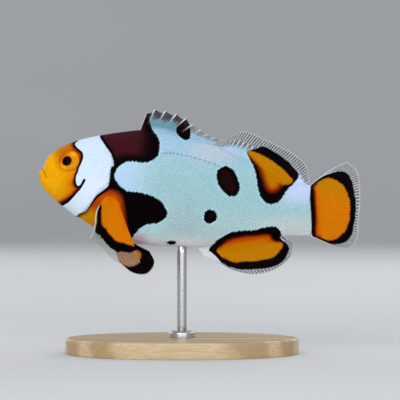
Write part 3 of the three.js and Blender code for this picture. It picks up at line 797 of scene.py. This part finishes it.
def scale_shape():
    """One scale: its points (along, across, height) in five ribs of four, and its faces."""
    points = []
    for along, half in RIBS:
        for share in (-1, -0.4, 0.4, 1):
            crown = 0.25 * (1 - share * share)
            back = 0.07 * (1 - abs(share)) if along > 1 else 0
            points.append((along + back, half * share, crown + along_scale(along)))
    rim = np.array([0, 1, 2, 3, 7, 11, 15, 19, 18, 17, 16, 12, 8, 4])
    count = len(rim)
    under = len(points) + np.arange(count)
    skirt = np.stack([rim, under, np.roll(under, -1), np.roll(rim, -1)], 1)
    sole = np.array([(under[0], under[-1 - i], under[-2 - i]) for i in range(count - 2)])
    return np.array(points), rim, np.vstack([grid_faces(5, 4), skirt]), sole


def scale_roots(table, bounds, columns):
    """Lattice coordinates of the scales: staggered rows, a little uneven, clear of the bare face."""
    roots = []
    for s in range(1, columns - 1):
        top, bottom = bounds[s * LATTICE]
        k = np.arange(-REACH + 1, REACH) + 0.5 * (s % 2)
        k = k[(k > top + 0.1) & (k < bottom - 0.1)]
        roots.append(np.stack([np.full(len(k), float(s)), k], 1))
    roots = np.concatenate(roots)
    centre, _ = sample_lattice(table, *roots.T)
    roots = roots[outline_distance(centre[:, [0, 2]], BARE) > 0.25]
    return roots + rng.normal(0, 0.035, roots.shape)


def build_scales(grid, normal, material):
    """Closed scales with their edges sunk into the skin, joined into three pieces on each side."""
    table, bounds = scale_lattice(grid, normal)
    columns = (table.shape[0] - 1) // LATTICE
    roots = scale_roots(table, bounds, columns)
    centre, _ = sample_lattice(table, *roots.T)
    shape, rim, top, sole = scale_shape()

    place, out = sample_lattice(table, roots[:, :1] + shape[:, 0], roots[:, 1:] + shape[:, 1])
    lift = (0.026 + 0.024 * ramp(centre[:, 0], 10, 22))[:, None] * (shape[:, 2] - 0.35)
    surface = place + out * lift[..., None]
    buried = place[:, rim] - out[:, rim] * 0.05
    points = np.concatenate([surface, buried], 1)
    per = points.shape[1]
    # A scale takes its colour partly from its middle, so that a mark's edge follows the scales.
    root_share = (0.1 + 0.35 * ramp(centre[:, 0], 16, 21))[:, None, None]
    judged = between(points, centre[:, None, :], root_share).reshape(-1, 3)
    points = points.reshape(-1, 3)
    marks = body_marks(judged)
    marks["lie"] = np.tile(along_scale(np.append(shape[:, 0], shape[rim, 0])), len(roots))
    line, above = polyline_distance(side_view(judged), curve(LATERAL_LINE, 60))
    marks["line"] = np.clip(line * above, -2, 2)
    # Each scale has a small patch of its own in the coat's map.
    spread = np.concatenate([shape[:, :2], shape[rim, :2]]) / 1.9 * 0.003
    unwrap = np.stack([roots[:, 0] / columns, (roots[:, 1] + REACH) / (2 * REACH)], 1) * 0.96 + 0.02
    uv = (unwrap[:, None, :] + spread).reshape(-1, 2)

    zone = np.digitize(centre[:, 0], list(ZONES.values())) - 1
    for side, sign in SIDES.items():
        flip = (1, sign, 1)
        tint = rng.normal(0, 1, len(roots))
        for part, name in enumerate(ZONES):
            which = np.flatnonzero(zone == part)
            vertices = (which[:, None] * per + np.arange(per)).ravel()
            starts = (np.arange(len(which)) * per)[:, None, None]
            blocks = [(faces + starts).reshape(-1, faces.shape[1])[:, ::-sign] for faces in (top, sole)]
            values = {key: value[vertices] for key, value in marks.items()}
            values["tint"] = np.repeat(tint[which], per)
            placed = points[vertices] * flip
            values["fish"] = placed
            piece = make_mesh(f"scales_{name}_{side}", placed, blocks, values, uv[vertices])
            finish_piece(piece, material, "skin")


# ------------------------------------------------------------------ fins
SPINES = [
    (23.7, 4.4, 17), (25.2, 5.7, 19), (27, 5.9, 28), (28.9, 6, 38), (30.9, 5.8, 47), (32.9, 4.9, 56),
    (35, 4.5, 66), (37.1, 3.9, 73), (39.3, 3.5, 74), (41.6, 3.5, 70),
]  # x of the foot, length, lean in degrees
SOFT_DORSAL = [(45.6, 12.7), (48.4, 14.9), (51, 15.25), (55.6, 13.7), (62.5, 11.1), (66, 8.4), (67.1, 4.6)]
ANAL = [
    (43.2, -16.6), (47.2, -17.9), (51, -19.4), (56, -19.8), (61.2, -18), (64.5, -14.6), (64.8, -11.3),
]
TAIL_ROOT = [(67.2, 3.5), (68.3, -2.7), (69, -8.9)]
TAIL = [
    (76.2, 10.55), (78.9, 8.4), (80.1, 3.6), (80.5, -3.2), (80.55, -8.4), (79, -10.7), (76, -11),
]
# Each paired fin has a root, a margin, and between their ends the inner points of its front and rear edge.
PECTORAL = {
    "root": [(17.9, 5.6, -3.6), (19, 5.5, -5.2), (20.6, 5.5, -4.4)],
    "margin": [
        (14.9, 11.2, -15.1), (17, 11.7, -15.9), (18.8, 12, -17.3), (21, 12.2, -19.3), (23.2, 12.2, -20.1),
        (25.8, 11.7, -20.6), (27.9, 10.6, -19.4),
    ],
    "lead": [
        (16.5, 7, -5.9), (15.7, 8.4, -8), (15.66, 9.4, -9.9), (15.75, 10.2, -11.7), (15.5, 10.8, -13.4),
    ],
    "trail": [(21.8, 6.75, -7.3), (23.4, 8, -10.8), (25.5, 9.3, -14.8)],
}
PELVIC = {
    "root": [(20.6, 2.1, -12.9), (21.9, 2.3, -13.4), (23.6, 2.2, -13.6)],
    "margin": [
        (22.2, 3.5, -20), (26, 4.3, -22.4), (29.6, 4.9, -22.3), (31.3, 5.1, -19.4), (29.7, 4.3, -16.5),
    ],
    "lead": [(21.1, 2.7, -17)],
    "trail": [(26, 3, -15.1)],
}
PER_RAY = 20  # columns of a fin's grid from ray to ray
SUNK = 0.8  # how deep a fin's foot lies inside the back or belly


def edge_heights(edge, x):
    """Height of the back or belly line at x."""
    line = curve(edge, 1500)
    order = np.argsort(line[:, 0])
    return np.interp(x, line[order, 0], line[order, 1])


def evenly(outline, count=33):
    """Points at even steps along a smooth open curve."""
    line = curve(outline, 600)
    run = run_along(line)
    steps = np.linspace(0, run[-1], count)
    return np.stack([np.interp(steps, run, line[:, axis]) for axis in range(line.shape[1])], 1)


def in_plane(points):
    """(x, z) points as points in the plane of symmetry."""
    points = np.asarray(points, float)
    return np.stack([points[:, 0], np.zeros(len(points)), points[:, 1]], 1)


def ruled(root, margin, wave=0, bow=0):
    """The surface between two curves. It sways towards its margin and its front edge bows upwards."""
    def place(u, v):
        point = between(spline(root, u), spline(margin, u), v[..., None])
        point[..., 1] += wave * v**1.5 * np.sin(2 * math.pi * (1.4 * u + 0.15))
        point[..., 2] += bow * np.sin(math.pi * v) * (1 - u) ** 4
        return point
    return place


def paired(fin, sign, reach=1, drop=0):
    """The surface spanned by a paired fin's four edges, on one side of the fish, lowered by drop degrees."""
    foot = np.mean(fin["root"], 0)
    c, s = math.cos(math.radians(drop)), math.sin(math.radians(drop))
    lower = np.array([[c, 0, -s], [0, 1, 0], [s, 0, c]])
    edges = {}
    for name, edge in fin.items():
        edges[name] = (foot + (np.array(edge) - foot) @ lower * reach) * (1, sign, 1)
    root, margin = edges["root"], edges["margin"]
    lead, trail = (np.vstack([root[i], edges[name], margin[i]]) for i, name in ((0, "lead"), (-1, "trail")))

    def place(u, v):
        u1, v1 = u[..., None], v[..., None]
        along = between(spline(root, u), spline(margin, u), v1)
        across = between(spline(lead, v), spline(trail, v), u1)
        flat = between(between(root[0], root[-1], u1), between(margin[0], margin[-1], u1), v1)
        return along + across - flat
    return place


def spiny(u, v):
    """The web between the spines: it leaves each spine's tip and meets the next one lower down."""
    x, reach, lean = np.array(SPINES).T
    back = edge_heights(BACK, x)
    lean = np.radians(lean)
    feet = in_plane(np.stack([x, back - SUNK], 1))
    tips = in_plane(np.stack([x + reach * np.sin(lean), back + reach * np.cos(lean)], 1))
    last = len(SPINES) - 1
    index = np.minimum((u * last).astype(int), last - 1)
    share = u * last - index
    dip = 0.15 * share**0.7 * (1 - share**12)
    foot = between(feet[index], feet[index + 1], share[..., None])
    tip = between(tips[index], tips[index + 1], share[..., None])
    point = between(foot, tip, (v * (1 - dip))[..., None])
    point[..., 1] += 0.25 * v**1.5 * np.sin(2 * math.pi * (1.1 * u + 0.3))
    return point


def ray_ridges(u, v, rays, forks, broad):
    """1 on a ray and 0 between rays. Each ray forks where v passes each value in forks."""
    step = u * (rays - 1)
    offset = step - np.round(step)
    places = [np.zeros_like(v)]
    width = np.full_like(v, broad)
    gap = 0.25
    for fork in forks:
        apart = gap * ramp(v, fork, fork + 0.22)
        places = [place + sign * apart for place in places for sign in (-1, 1)]
        width = width * (1 - 0.42 * ramp(v, fork, fork + 0.22))
        gap /= 2
    ridge = np.zeros_like(v)
    for place in places:
        ridge = np.maximum(ridge, np.exp(-(((offset - place) / width) ** 2)))
    return ridge


def build_fin(name, node, place, material, rays, marks_at, begins, forks=(0.35,), web=0.12, ray=0.24,
              sheath=1.5, dip=0.02, fray=0, edges=(1, 1, 1), broad=0.17, teeth=0.13):
    """A thin closed sheet over the surface place(u, v), with its rays standing out on both faces.

    web, ray and sheath are its thickness between the rays, on a ray and at its foot.
    begins holds, for even steps along the fin, the share of its height where its clear fringe begins.
    dip and fray are how far the margin falls back between the rays and where it is torn.
    edges tells whether its front, its rear and its margin have a pale rim.
    teeth is how far the rays draw the edges of the marks out.
    """
    def both_faces(field):
        return np.concatenate([field, field[:, ::-1]], 1).ravel()

    def uneven(values):
        """Values at the rays and halfway between them, for every point of the sheet."""
        return np.interp(u * (rays - 1), np.arange(rays * 2) / 2, values)

    rows = 56
    columns = (rays - 1) * PER_RAY + 1
    u, v = np.meshgrid(np.linspace(0, 1, columns), np.linspace(0, 1, rows))
    ridge = ray_ridges(u, v, rays, forks, broad)
    short = dip * (1 - ridge[-1])
    if fray:
        jag = rng.uniform(0, 1, rays * 2)
        jag[:2] = 0
        short = short + fray * uneven(jag**3) * (1 - ramp(u, 0.4, 0.6))
    middle = place(u, v * (1 - short * ramp(v, 0.4, 1)))
    normal = unit(np.cross(np.gradient(middle, axis=1), np.gradient(middle, axis=0)))
    half = web / 2 + (ray - web) / 2 * ridge * (1 - 0.55 * v)
    round_off = np.sqrt(np.clip(np.sin(math.pi * np.clip(u, 0.02, 0.98)), 0, 1))
    half += sheath / 2 * (1 - ramp(v, 0, 0.32)) * round_off
    half *= 1 - 0.6 * ramp(v, 0.93, 1)
    right = middle + normal * half[..., None]
    left = middle - normal * half[..., None]
    points = np.concatenate([right, left[:, ::-1]], 1).reshape(-1, 3)

    span = np.cumsum(length(np.diff(middle, axis=0, prepend=middle[:1])), 0)
    wide = np.cumsum(length(np.diff(middle, axis=1, prepend=middle[:, :1])), 1)
    distances = (wide, wide[:, -1:] - wide, span[-1] - span)
    edge = np.min([away for away, has_rim in zip(distances, edges) if has_rim], 0)
    fringe = ramp(v - np.interp(u, np.linspace(0, 1, len(begins)), begins), 0, 0.32)
    every = rng.normal(0, teeth / 2, rays * 2)
    jagged = (teeth * (ridge - 0.5) + uneven(every)) * ramp(v, 0.25, 0.5)
    values = {**marks_at(points), "fish": points}
    for key in ("spot", "core"):
        values[key] = values[key] - both_faces(jagged)
    for key, field in {"ray": ridge, "reach": v, "edge": edge, "span": span, "fringe": fringe}.items():
        values[key] = both_faces(field)

    count = 2 * columns
    j = np.arange(columns - 1)
    top = (rows - 1) * count
    rim = np.stack([top + j + 1, top + count - 2 - j, top + count - 1 - j, top + j], 1)
    foot = np.stack([count - 1 - j, count - 2 - j, j + 1, j], 1)
    faces = np.concatenate([grid_faces(rows, count, wrap=True), rim, foot])
    return finish_piece(make_mesh(name, points, [faces], values), material, "fins", node)


PECTORAL_MARK = [
    (14, -0.5), (14.5, -5), (15.8, -6.35), (15.7, -7.3), (15.5, -8), (15.55, -9.5), (15.6, -11),
    (15.4, -12.5), (15.5, -13.4), (16.2, -13.8), (16.9, -14.2), (17.6, -15), (18.3, -15.7), (18.8, -16.2),
    (19.6, -16.7), (20.7, -17.5), (21.6, -17.9), (22.4, -17.6), (24, -17.6), (25.2, -17.4), (26.6, -16.4),
    (29, -15), (28, -8), (24, -0.5),
]
PECTORAL_CORE = [
    (14, -0.5), (14.6, -5.6), (15.9, -6.3), (16.4, -6.9), (16.5, -8.5), (16.7, -9.7), (16.9, -10.8),
    (17.3, -11.8), (18.1, -12.3), (18.5, -12.9), (19.3, -13.7), (20.2, -14.6), (21.2, -15.2), (22.1, -15.3),
    (23.2, -15.4), (24.5, -15.7), (25.8, -15.7), (25.2, -13.8), (24.5, -11.9), (23.8, -9.7), (23, -7.5),
    (21.9, -4.8), (21.5, -0.5),
]
PELVIC_MARK = [(18, -11), (34, -11), (34, -26), (18, -26)]
PELVIC_CORE = [
    (20, -14), (24, -15), (25.9, -16.6), (26.6, -16.8), (27.3, -17.3), (27.6, -18), (27.4, -18.9),
    (27.1, -19.8), (26.4, -20.6), (25.3, -20.9), (24.1, -20.9), (23, -20.6), (21.9, -19.6), (20.6, -17),
]


def own_marks(mark, core, red=0):
    """A paired fin's own marks, in the place of the body's. red is how far its rear edge reddens."""
    def marks_at(points):
        flat = side_view(points)
        found = {name: np.full(len(flat), FAR) for name in MARKS}
        for name, outline in (("spot", mark), ("core", core)):
            found[name] = np.clip(outline_distance(flat, outline), -FAR, FAR)
        x, z = flat.T
        found["ember"] = red * ramp(x - 18 + 0.25 * z, 0, 2) * ramp(z, -14, -9)
        return found
    return marks_at


def clear_of_marks(p):
    """0 on a fin's dark marks and 1 beside them."""
    return p.fade(p.math("MINIMUM", p.attribute("spot"), p.attribute("dark")), -0.14, 0)


def fin_finish(p, colour, fish, fringe, clear, ray_clear, rim_width, rim_from=0):
    """Adds a fin's pale rim, lets light through its fringe between the rays, and joints its rays."""
    rim = p.fade(p.attribute("edge"), rim_width, rim_width * 0.45, 0, 0.9)
    rim = rim * p.fade(p.attribute("reach"), rim_from - 0.15, rim_from)
    colour = p.mix(rim, colour, FIN_RIM)
    fringe = p.math("SUBTRACT", fringe, rim, clamp=True)
    ray = p.attribute("ray")
    see_through = fringe * p.fade(ray, 0.2, 0.65, clear, ray_clear)
    alpha = p.math("SUBTRACT", 1, see_through, clamp=True)
    colour = p.mix(1, colour, p.fade(p.noise(fish, 3.2, 2), 0.3, 0.7, 0.9, 1.02), "MULTIPLY")
    joints = p.math("SINE", p.attribute("span") * 14)
    p.bump(joints * ray + p.noise(fish, 4, 3), 0.3, 0.00003)
    return p.set(Base_Color=colour, Roughness=0.42, Alpha=alpha, Specular_IOR_Level=SPECULAR)


def fin_material(name, film, clear, ray_clear, rim_width, rim_from=0, ray_share=1, bare=None):
    """A fin of soft rays: its marks, the film between its rays and its bare colour, if it has one."""
    p = Paint(name)
    colour, fish = body_colour(p, 0.1)
    unmarked = clear_of_marks(p)
    if bare:
        colour = p.mix(unmarked, colour, srgb(*bare))
    streak = p.noise(p.stretched(fish, (2.2, 1, 0.5)), 1, 2)
    ray = p.attribute("ray")
    pale = p.mix(p.fade(streak, 0.3, 0.7, 0, 0.2), srgb(*film), FIN_RAY)
    pale = p.mix(p.fade(ray, 0.25, 0.75, 0, ray_share), pale, FIN_RAY)
    fringe = p.attribute("fringe") * unmarked
    colour = p.mix(fringe, colour, pale)
    inside = p.fade(p.attribute("core"), 0.1, -0.2)
    colour = p.mix(inside * p.fade(ray, 0.15, 0.8, 0, 0.06), colour, srgb(236, 160, 30))
    return fin_finish(p, colour, fish, fringe, clear, ray_clear, rim_width, rim_from)


def spiny_fin_material():
    """The web between the spines: a mottled sheath below, smoky above, brown where it is marked."""
    p = Paint("spiny_fin_web")
    colour, fish = body_colour(p, 0.1)
    x = p.parts(fish)[0]
    ray, reach = p.attribute("ray"), p.attribute("reach")
    unmarked = clear_of_marks(p)
    mottle = p.noise(p.stretched(fish, (1.5, 1, 1)), 1, 3)
    uneven = reach + (mottle - 0.5) * 0.7
    sheath = p.fade(uneven, 0.8, 0.45) * p.fade(x, 38, 32, 0.1, 0.85)
    sheath = sheath * p.fade(reach, 0.05, 0.4)
    colour = p.mix(sheath * unmarked, colour, FIN_SHEATH)
    film = p.mix(p.fade(x, 34, 38), srgb(56, 56, 60), srgb(140, 146, 152))
    film = p.mix(unmarked, srgb(60, 36, 32), film)
    film = p.mix(p.fade(mottle, 0.4, 0.7, 0, 0.08), film, FIN_RAY)
    tinged = p.fade(reach, 0.6, 1, 0, 0.4)
    fringe = p.fade(uneven, 0.45, 0.8) * p.math("MAXIMUM", unmarked, tinged)
    colour = p.mix(fringe, colour, film)
    spine = p.fade(ray, 0.35, 0.8) * p.fade(reach, 0.3, 0.9, 0, 0.95)
    bone = p.mix(p.fade(reach, 0.6, 1), srgb(170, 170, 174), srgb(222, 224, 228))
    colour = p.mix(spine, colour, bone)
    return fin_finish(p, colour, fish, fringe, 0.25, 0.05, 0.3)


def over_body(margin, edge, x_from, x_to, sign, lean):
    """The surface of a fin on the back (sign 1) or belly (sign -1), rooted from x_from to x_to."""
    x = x_from + (x_to - x_from) * np.linspace(0, 1, 9) ** lean
    root = in_plane(np.stack([x, edge_heights(edge, x) - SUNK * sign], 1))
    return ruled(root, in_plane(margin), 0.5)


def build_fins():
    """The odd fins, then the paired ones. The right pelvic fin is a little smaller and lower."""
    soft = fin_material("fin_web", (88, 92, 96), 0.35, 0.05, 0.14)
    dorsal = over_body(evenly(SOFT_DORSAL), BACK, 43.9, 65.3, 1, 1.2)
    build_fin("dorsal_fin_soft_rays", "dorsal_fin_soft", dorsal, soft, 21, body_marks,
              (0.16, 0.2, 0.26, 0.34, 0.38, 0.38, 0.38), forks=(0.45,))
    anal = over_body(ANAL, BELLY, 40.6, 61.8, -1, 1.3)
    build_fin("anal_fin_rays", "anal_fin", anal, soft, 21, body_marks,
              (1.2, 1, 0.6, 0.38, 0.38, 0.38, 0.38, -0.3), edges=(1, 0, 1))
    web = fin_material("tail_web", (104, 106, 110), 0.18, 0.03, 0.2)
    tail = ruled(in_plane(TAIL_ROOT), in_plane(TAIL), 0.35, 0.75)
    build_fin("tail_fin_rays", "tail_fin", tail, web, 25, body_marks, (0.3,), dip=0.025)
    build_fin("dorsal_fin_spines", "dorsal_fin_spiny", spiny, spiny_fin_material(), len(SPINES), body_marks,
              (0,), forks=(), web=0.1, ray=0.42, sheath=1.4, dip=0, edges=(1, 0, 0), broad=0.11, teeth=0)
    breast = fin_material("breast_fin_web", (100, 108, 84), 0.82, 0.6, 0.34, 0.33, 0.45, (180, 140, 80))
    belly = fin_material("belly_fin_web", (166, 158, 162), 0.3, 0.05, 0.34)
    breast_marks = own_marks(PECTORAL_MARK, PECTORAL_CORE, 0.85)
    belly_marks = own_marks(PELVIC_MARK, PELVIC_CORE)
    for side, sign in SIDES.items():
        node = f"pectoral_fin_{side}"
        build_fin(f"{node}_rays", node, paired(PECTORAL, sign), breast, 16, breast_marks, (0.3,),
                  ray=0.19, sheath=1.1, fray=0.08, edges=(1, 0, 0))
        node = f"pelvic_fin_{side}"
        folded = paired(PELVIC, sign) if sign < 0 else paired(PELVIC, sign, 0.92, 2.5)
        build_fin(f"{node}_rays", node, folded, belly, 6, belly_marks, (0.8,), forks=(0.3, 0.65),
                  sheath=0.9, dip=0.01, ray=0.36)


# ------------------------------------------------------------------ eyes
def eye_material():
    p = Paint("fish_eye")
    disc = p.attribute("disc", "Vector")
    from_pupil, from_middle = p.attribute("pupil"), p.attribute("middle")
    across, up, _ = p.parts(disc)
    grain = p.noise(disc, 1.7, 4, 0.6)
    long_way = across * 0.5 + up * 0.87
    long_way = abs(long_way + (grain - 0.5) * 0.9)
    cross_way = across * 0.87 + up * -0.5
    iris = p.mix(p.fade(grain, 0.35, 0.7), srgb(206, 118, 6), srgb(226, 140, 6))
    iris = p.mix(p.fade(cross_way, -0.7, -2), iris, srgb(184, 92, 2))
    iris = p.mix(p.fade(cross_way, 1.2, 2), iris, srgb(214, 146, 12))
    patch = p.fade(long_way, 0.9, 1.9, 0, 0.8) * p.fade(abs(cross_way), 1.5, 0.3)
    iris = p.mix(patch, iris, srgb(255, 174, 6))
    iris = p.mix(p.fade(from_middle, 2.15, 2.5, 0, 0.6), iris, srgb(204, 118, 4))
    iris = p.mix(p.fade(from_pupil, 1.65, 1.3, 0, 0.8), iris, srgb(240, 138, 24))
    specks = p.fade(p.noise(p.stretched(disc, (1.4, 1.4, 0.2)), 1.6, 2), 0.54, 0.7, 0, 0.75)
    iris = p.mix(specks * p.fade(from_pupil, 1.9, 1.5), iris, srgb(150, 60, 2))
    iris = p.mix(p.fade(from_pupil, 1.42, 1.18), iris, srgb(112, 22, 4))
    colour = p.mix(p.fade(from_pupil, 1.16, 1.06), iris, srgb(2, 3, 4))
    p.bump(grain, 0.2, 0.00004)
    p.set(Coat_Weight=0.02, Coat_Roughness=0.02)
    return p.set(Base_Color=colour, Roughness=0.35, Specular_IOR_Level=SPECULAR)


def build_eye(side, sign, smooth, normal, material):
    """A bulging disc that fills the eye's socket, with its pupil a little off the middle."""
    right = smooth[:, : RING // 2].reshape(-1, 3)
    away = side_distance(right, EYE["x"], EYE["z"])
    out = unit(normal[:, : RING // 2].reshape(-1, 3)[away < 2].mean(0))
    centre = right[np.argmin(away)]
    back = unit(np.cross([0, 0, 1], -out))
    up = np.cross(back, -out)
    up *= np.sign(up[2])
    back *= np.sign(back[0])

    rim = EYE["radius"]
    radii = np.concatenate([
        np.linspace(0.1, 1, 9), np.linspace(1.05, 1.3, 6), np.linspace(1.4, rim, 14), [rim + 0.08, rim + 0.2],
    ])
    turns = 72
    angle = np.arange(turns) * 2 * math.pi / turns
    share = ramp(radii, 0, 2)[:, None]
    a = radii[:, None] * np.cos(angle) + PUPIL["x"] * (1 - share)
    b = radii[:, None] * np.sin(angle) + PUPIL["z"] * (1 - share)
    from_pupil = np.hypot(a - PUPIL["x"], b - PUPIL["z"])
    from_middle = np.hypot(a, b)
    high = 0.4 - 0.045 * from_middle**2 - 0.0045 * from_middle**4
    high += 0.1 * np.clip(1 - (from_pupil / PUPIL["radius"]) ** 2, 0, 1)
    high -= 2 * ramp(from_middle, rim, rim + 0.4)
    disc = np.stack([a, b, high], -1).reshape(-1, 3)
    apex = (PUPIL["x"], PUPIL["z"], 0.55)
    points = (centre + np.vstack([disc, apex]) @ (back, up, out)) * (1, sign, 1)
    values = {
        "pupil": np.append(from_pupil, 0),
        "middle": np.append(from_middle, 0.2),
        "disc": np.vstack([disc, (0, 0, 0.55)]),
    }
    cap = fan(np.arange(turns), len(points) - 1)[:, ::-1]
    blocks = [faces[:, ::sign] for faces in (grid_faces(len(radii), turns, wrap=True), cap)]
    eye = make_mesh(f"eyeball_{side}", points, blocks, values)
    finish_piece(eye, material, "eye", f"eye_{side}")


# ------------------------------------------------------------------ stand
BASE = {"length": 58, "width": 36, "height": 4, "bevel": 0.8}
ROD = {"radius": 1.2, "top": 28}
COLLAR = {"radius": 3.25, "height": 1.6, "bevel": 0.5}


def wood_material():
    p = Paint("pale_ash")
    place = p.place()
    warp = p.noise(p.stretched(place, (18, 60, 60)), 1, 3)
    _, y, _ = p.parts(place)
    growth = p.fade(p.math("SINE", y * 900 + warp * 9), -0.6, 1)
    fibre = p.noise(p.stretched(place, (60, 2200, 2200)), 1, 3)
    wood = p.mix(growth, srgb(178, 148, 108), srgb(206, 182, 144))
    wood = p.mix(p.fade(fibre, 0.35, 0.7, 0, 0.35), wood, srgb(150, 118, 80))
    p.bump(fibre, 0.3, 0.00004)
    p.set(Coat_Weight=0.2, Coat_Roughness=0.25)
    return p.set(Base_Color=wood, Roughness=p.fade(fibre, 0.3, 0.7, 0.38, 0.52))


def steel_material():
    p = Paint("satin_steel")
    place = p.place()
    turned = p.noise(p.stretched(place, (40, 40, 4000)), 1, 2)
    tone = p.mix(turned, srgb(176, 178, 180), srgb(200, 202, 204))
    p.bump(turned, 0.1, 0.00001)
    return p.set(Base_Color=tone, Metallic=1, Roughness=p.fade(turned, 0.3, 0.7, 0.26, 0.32))


def turned_piece(name, profile, material, slot, node, sides=160, width=1):
    """A turned solid from its profile of (radius, height) in millimetres. width flattens it to an oval."""
    ring = np.arange(sides)
    angle = ring * 2 * math.pi / sides
    radius, height = np.array(profile)[:, :, None].transpose(1, 0, 2)
    flat = np.zeros(sides)
    rings = np.stack([radius * np.cos(angle), radius * width * np.sin(angle), height + flat], -1)
    points = np.vstack([rings.reshape(-1, 3), (0, 0, profile[0][1]), (0, 0, profile[-1][1])])
    low = fan(ring, len(points) - 2)[:, ::-1]
    high = fan((len(profile) - 1) * sides + ring, len(points) - 1)
    faces = grid_faces(len(profile), sides, wrap=True)
    piece = make_mesh(name, points, [faces, low, high], row=False)
    return finish_piece(piece, material, slot, node)


def rounded(radius, low, high, bevel, foot):
    """A turned profile from the height low to high. foot and bevel round its lower and upper edges."""
    corner = np.linspace(0, math.pi / 2, 7)
    lower = [(radius - foot + foot * math.sin(a), low + foot - foot * math.cos(a)) for a in corner]
    upper = [(radius - bevel + bevel * math.cos(a), high - bevel + bevel * math.sin(a)) for a in corner]
    return lower + upper


def build_stand():
    steel = steel_material()
    half, top, width = BASE["length"] / 2, BASE["height"], BASE["width"] / BASE["length"]
    board = rounded(half, 0, top, BASE["bevel"], 0.3)
    board += [(half - BASE["bevel"] - inner, top) for inner in (0.4, 2, 8, 16, 22)]
    turned_piece("base_board", board, wood_material(), "base_wood", "stand_base", width=width)
    level = top + COLLAR["height"]
    collar = rounded(COLLAR["radius"], top, level, COLLAR["bevel"], 0.05) + [(1.5, level)]
    turned_piece("rod_collar", collar, steel, "rod_steel", "stand_collar", 96)
    rod = [(ROD["radius"], z) for z in np.linspace(top, ROD["top"], 9)]
    turned_piece("rod", rod, steel, "rod_steel", "stand_rod", 64)


# ------------------------------------------------------------------ stage, lights, camera
def build_stage():
    floor = Paint("studio_floor")
    place = floor.place()
    tone = floor.fade(floor.noise(place, 3, 2), 0.3, 0.7)
    floor.set(Base_Color=floor.mix(tone, srgb(202, 204, 206), srgb(207, 209, 211)), Roughness=0.9)
    depth, rise, near, half, bend = 0.9, 1.4, -1.2, 2.5, 0.5
    turn = np.linspace(0, math.pi / 2, 17)[1:]
    profile = [(near, 0), (depth, 0)]
    profile += [(depth + bend * math.sin(a), bend * (1 - math.cos(a))) for a in turn]
    profile.append((depth + bend, rise))
    points = np.array([(side * half, y, z) for y, z in profile for side in (-1, 1)]) / MM
    sweep = make_mesh("floor_sweep", points, [grid_faces(len(profile), 2)[:, ::-1]], row=False)
    sweep.data.materials.append(floor.material)


def area_light(name, position, target, size, power):
    data = bpy.data.lights.new(name, "AREA")
    data.shape = "RECTANGLE"
    data.size, data.size_y = size
    data.energy = power
    light = bpy.data.objects.new(name, data)
    light.location = position
    light.rotation_euler = (Vector(target) - Vector(position)).to_track_quat("-Z", "Y").to_euler()
    bpy.context.scene.collection.objects.link(light)


def build_lights():
    heart = (0.0, 0.0, 0.04)
    area_light("front", (0.05, -0.85, 0.24), heart, (1.3, 0.44), 4.2)
    area_light("key", (-0.3, -0.6, 0.5), heart, (0.5, 0.4), 1.5)
    area_light("top", (0.05, 0.1, 0.75), heart, (0.6, 0.5), 1.0)
    area_light("rim", (0.35, 0.5, 0.4), heart, (0.4, 0.4), 1.2)
    area_light("back_fill", (-0.45, 0.55, 0.3), heart, (0.5, 0.5), 1.2)
    world = bpy.data.worlds.new("studio")
    world.use_nodes = True
    world.node_tree.nodes["Background"].inputs[0].default_value = (0.8, 0.83, 0.86, 1)
    world.node_tree.nodes["Background"].inputs[1].default_value = 0.55
    bpy.context.scene.world = world
    bpy.context.scene.view_settings.view_transform = "Standard"


def build_camera():
    """Looks square on to the fish's left side, with the fish a little left of the middle."""
    data = bpy.data.cameras.new("camera")
    camera = bpy.data.objects.new("camera", data)
    distance = 0.48
    width = 0.0994
    rise = math.radians(0.5)
    aim = Vector((0.0045, 0.0, 0.0382))
    camera.location = aim + Vector((0, -distance * math.cos(rise), distance * math.sin(rise)))
    camera.rotation_euler = (aim - camera.location).to_track_quat("-Z", "Y").to_euler()
    data.sensor_width = 36
    data.lens = 36 * distance / width
    data.clip_start = 0.01
    bpy.context.scene.collection.objects.link(camera)
    bpy.context.scene.camera = camera


build_camera()
build_lights()
build_stage()
finished, finished_normal, smooth, smooth_normal = body_grid()
build_skin(finished, skin_material())
build_scales(finished, finished_normal, scale_material())
build_fins()
eye_paint = eye_material()
for side, sign in SIDES.items():
    build_eye(side, sign, smooth, smooth_normal, eye_paint)
build_stand()
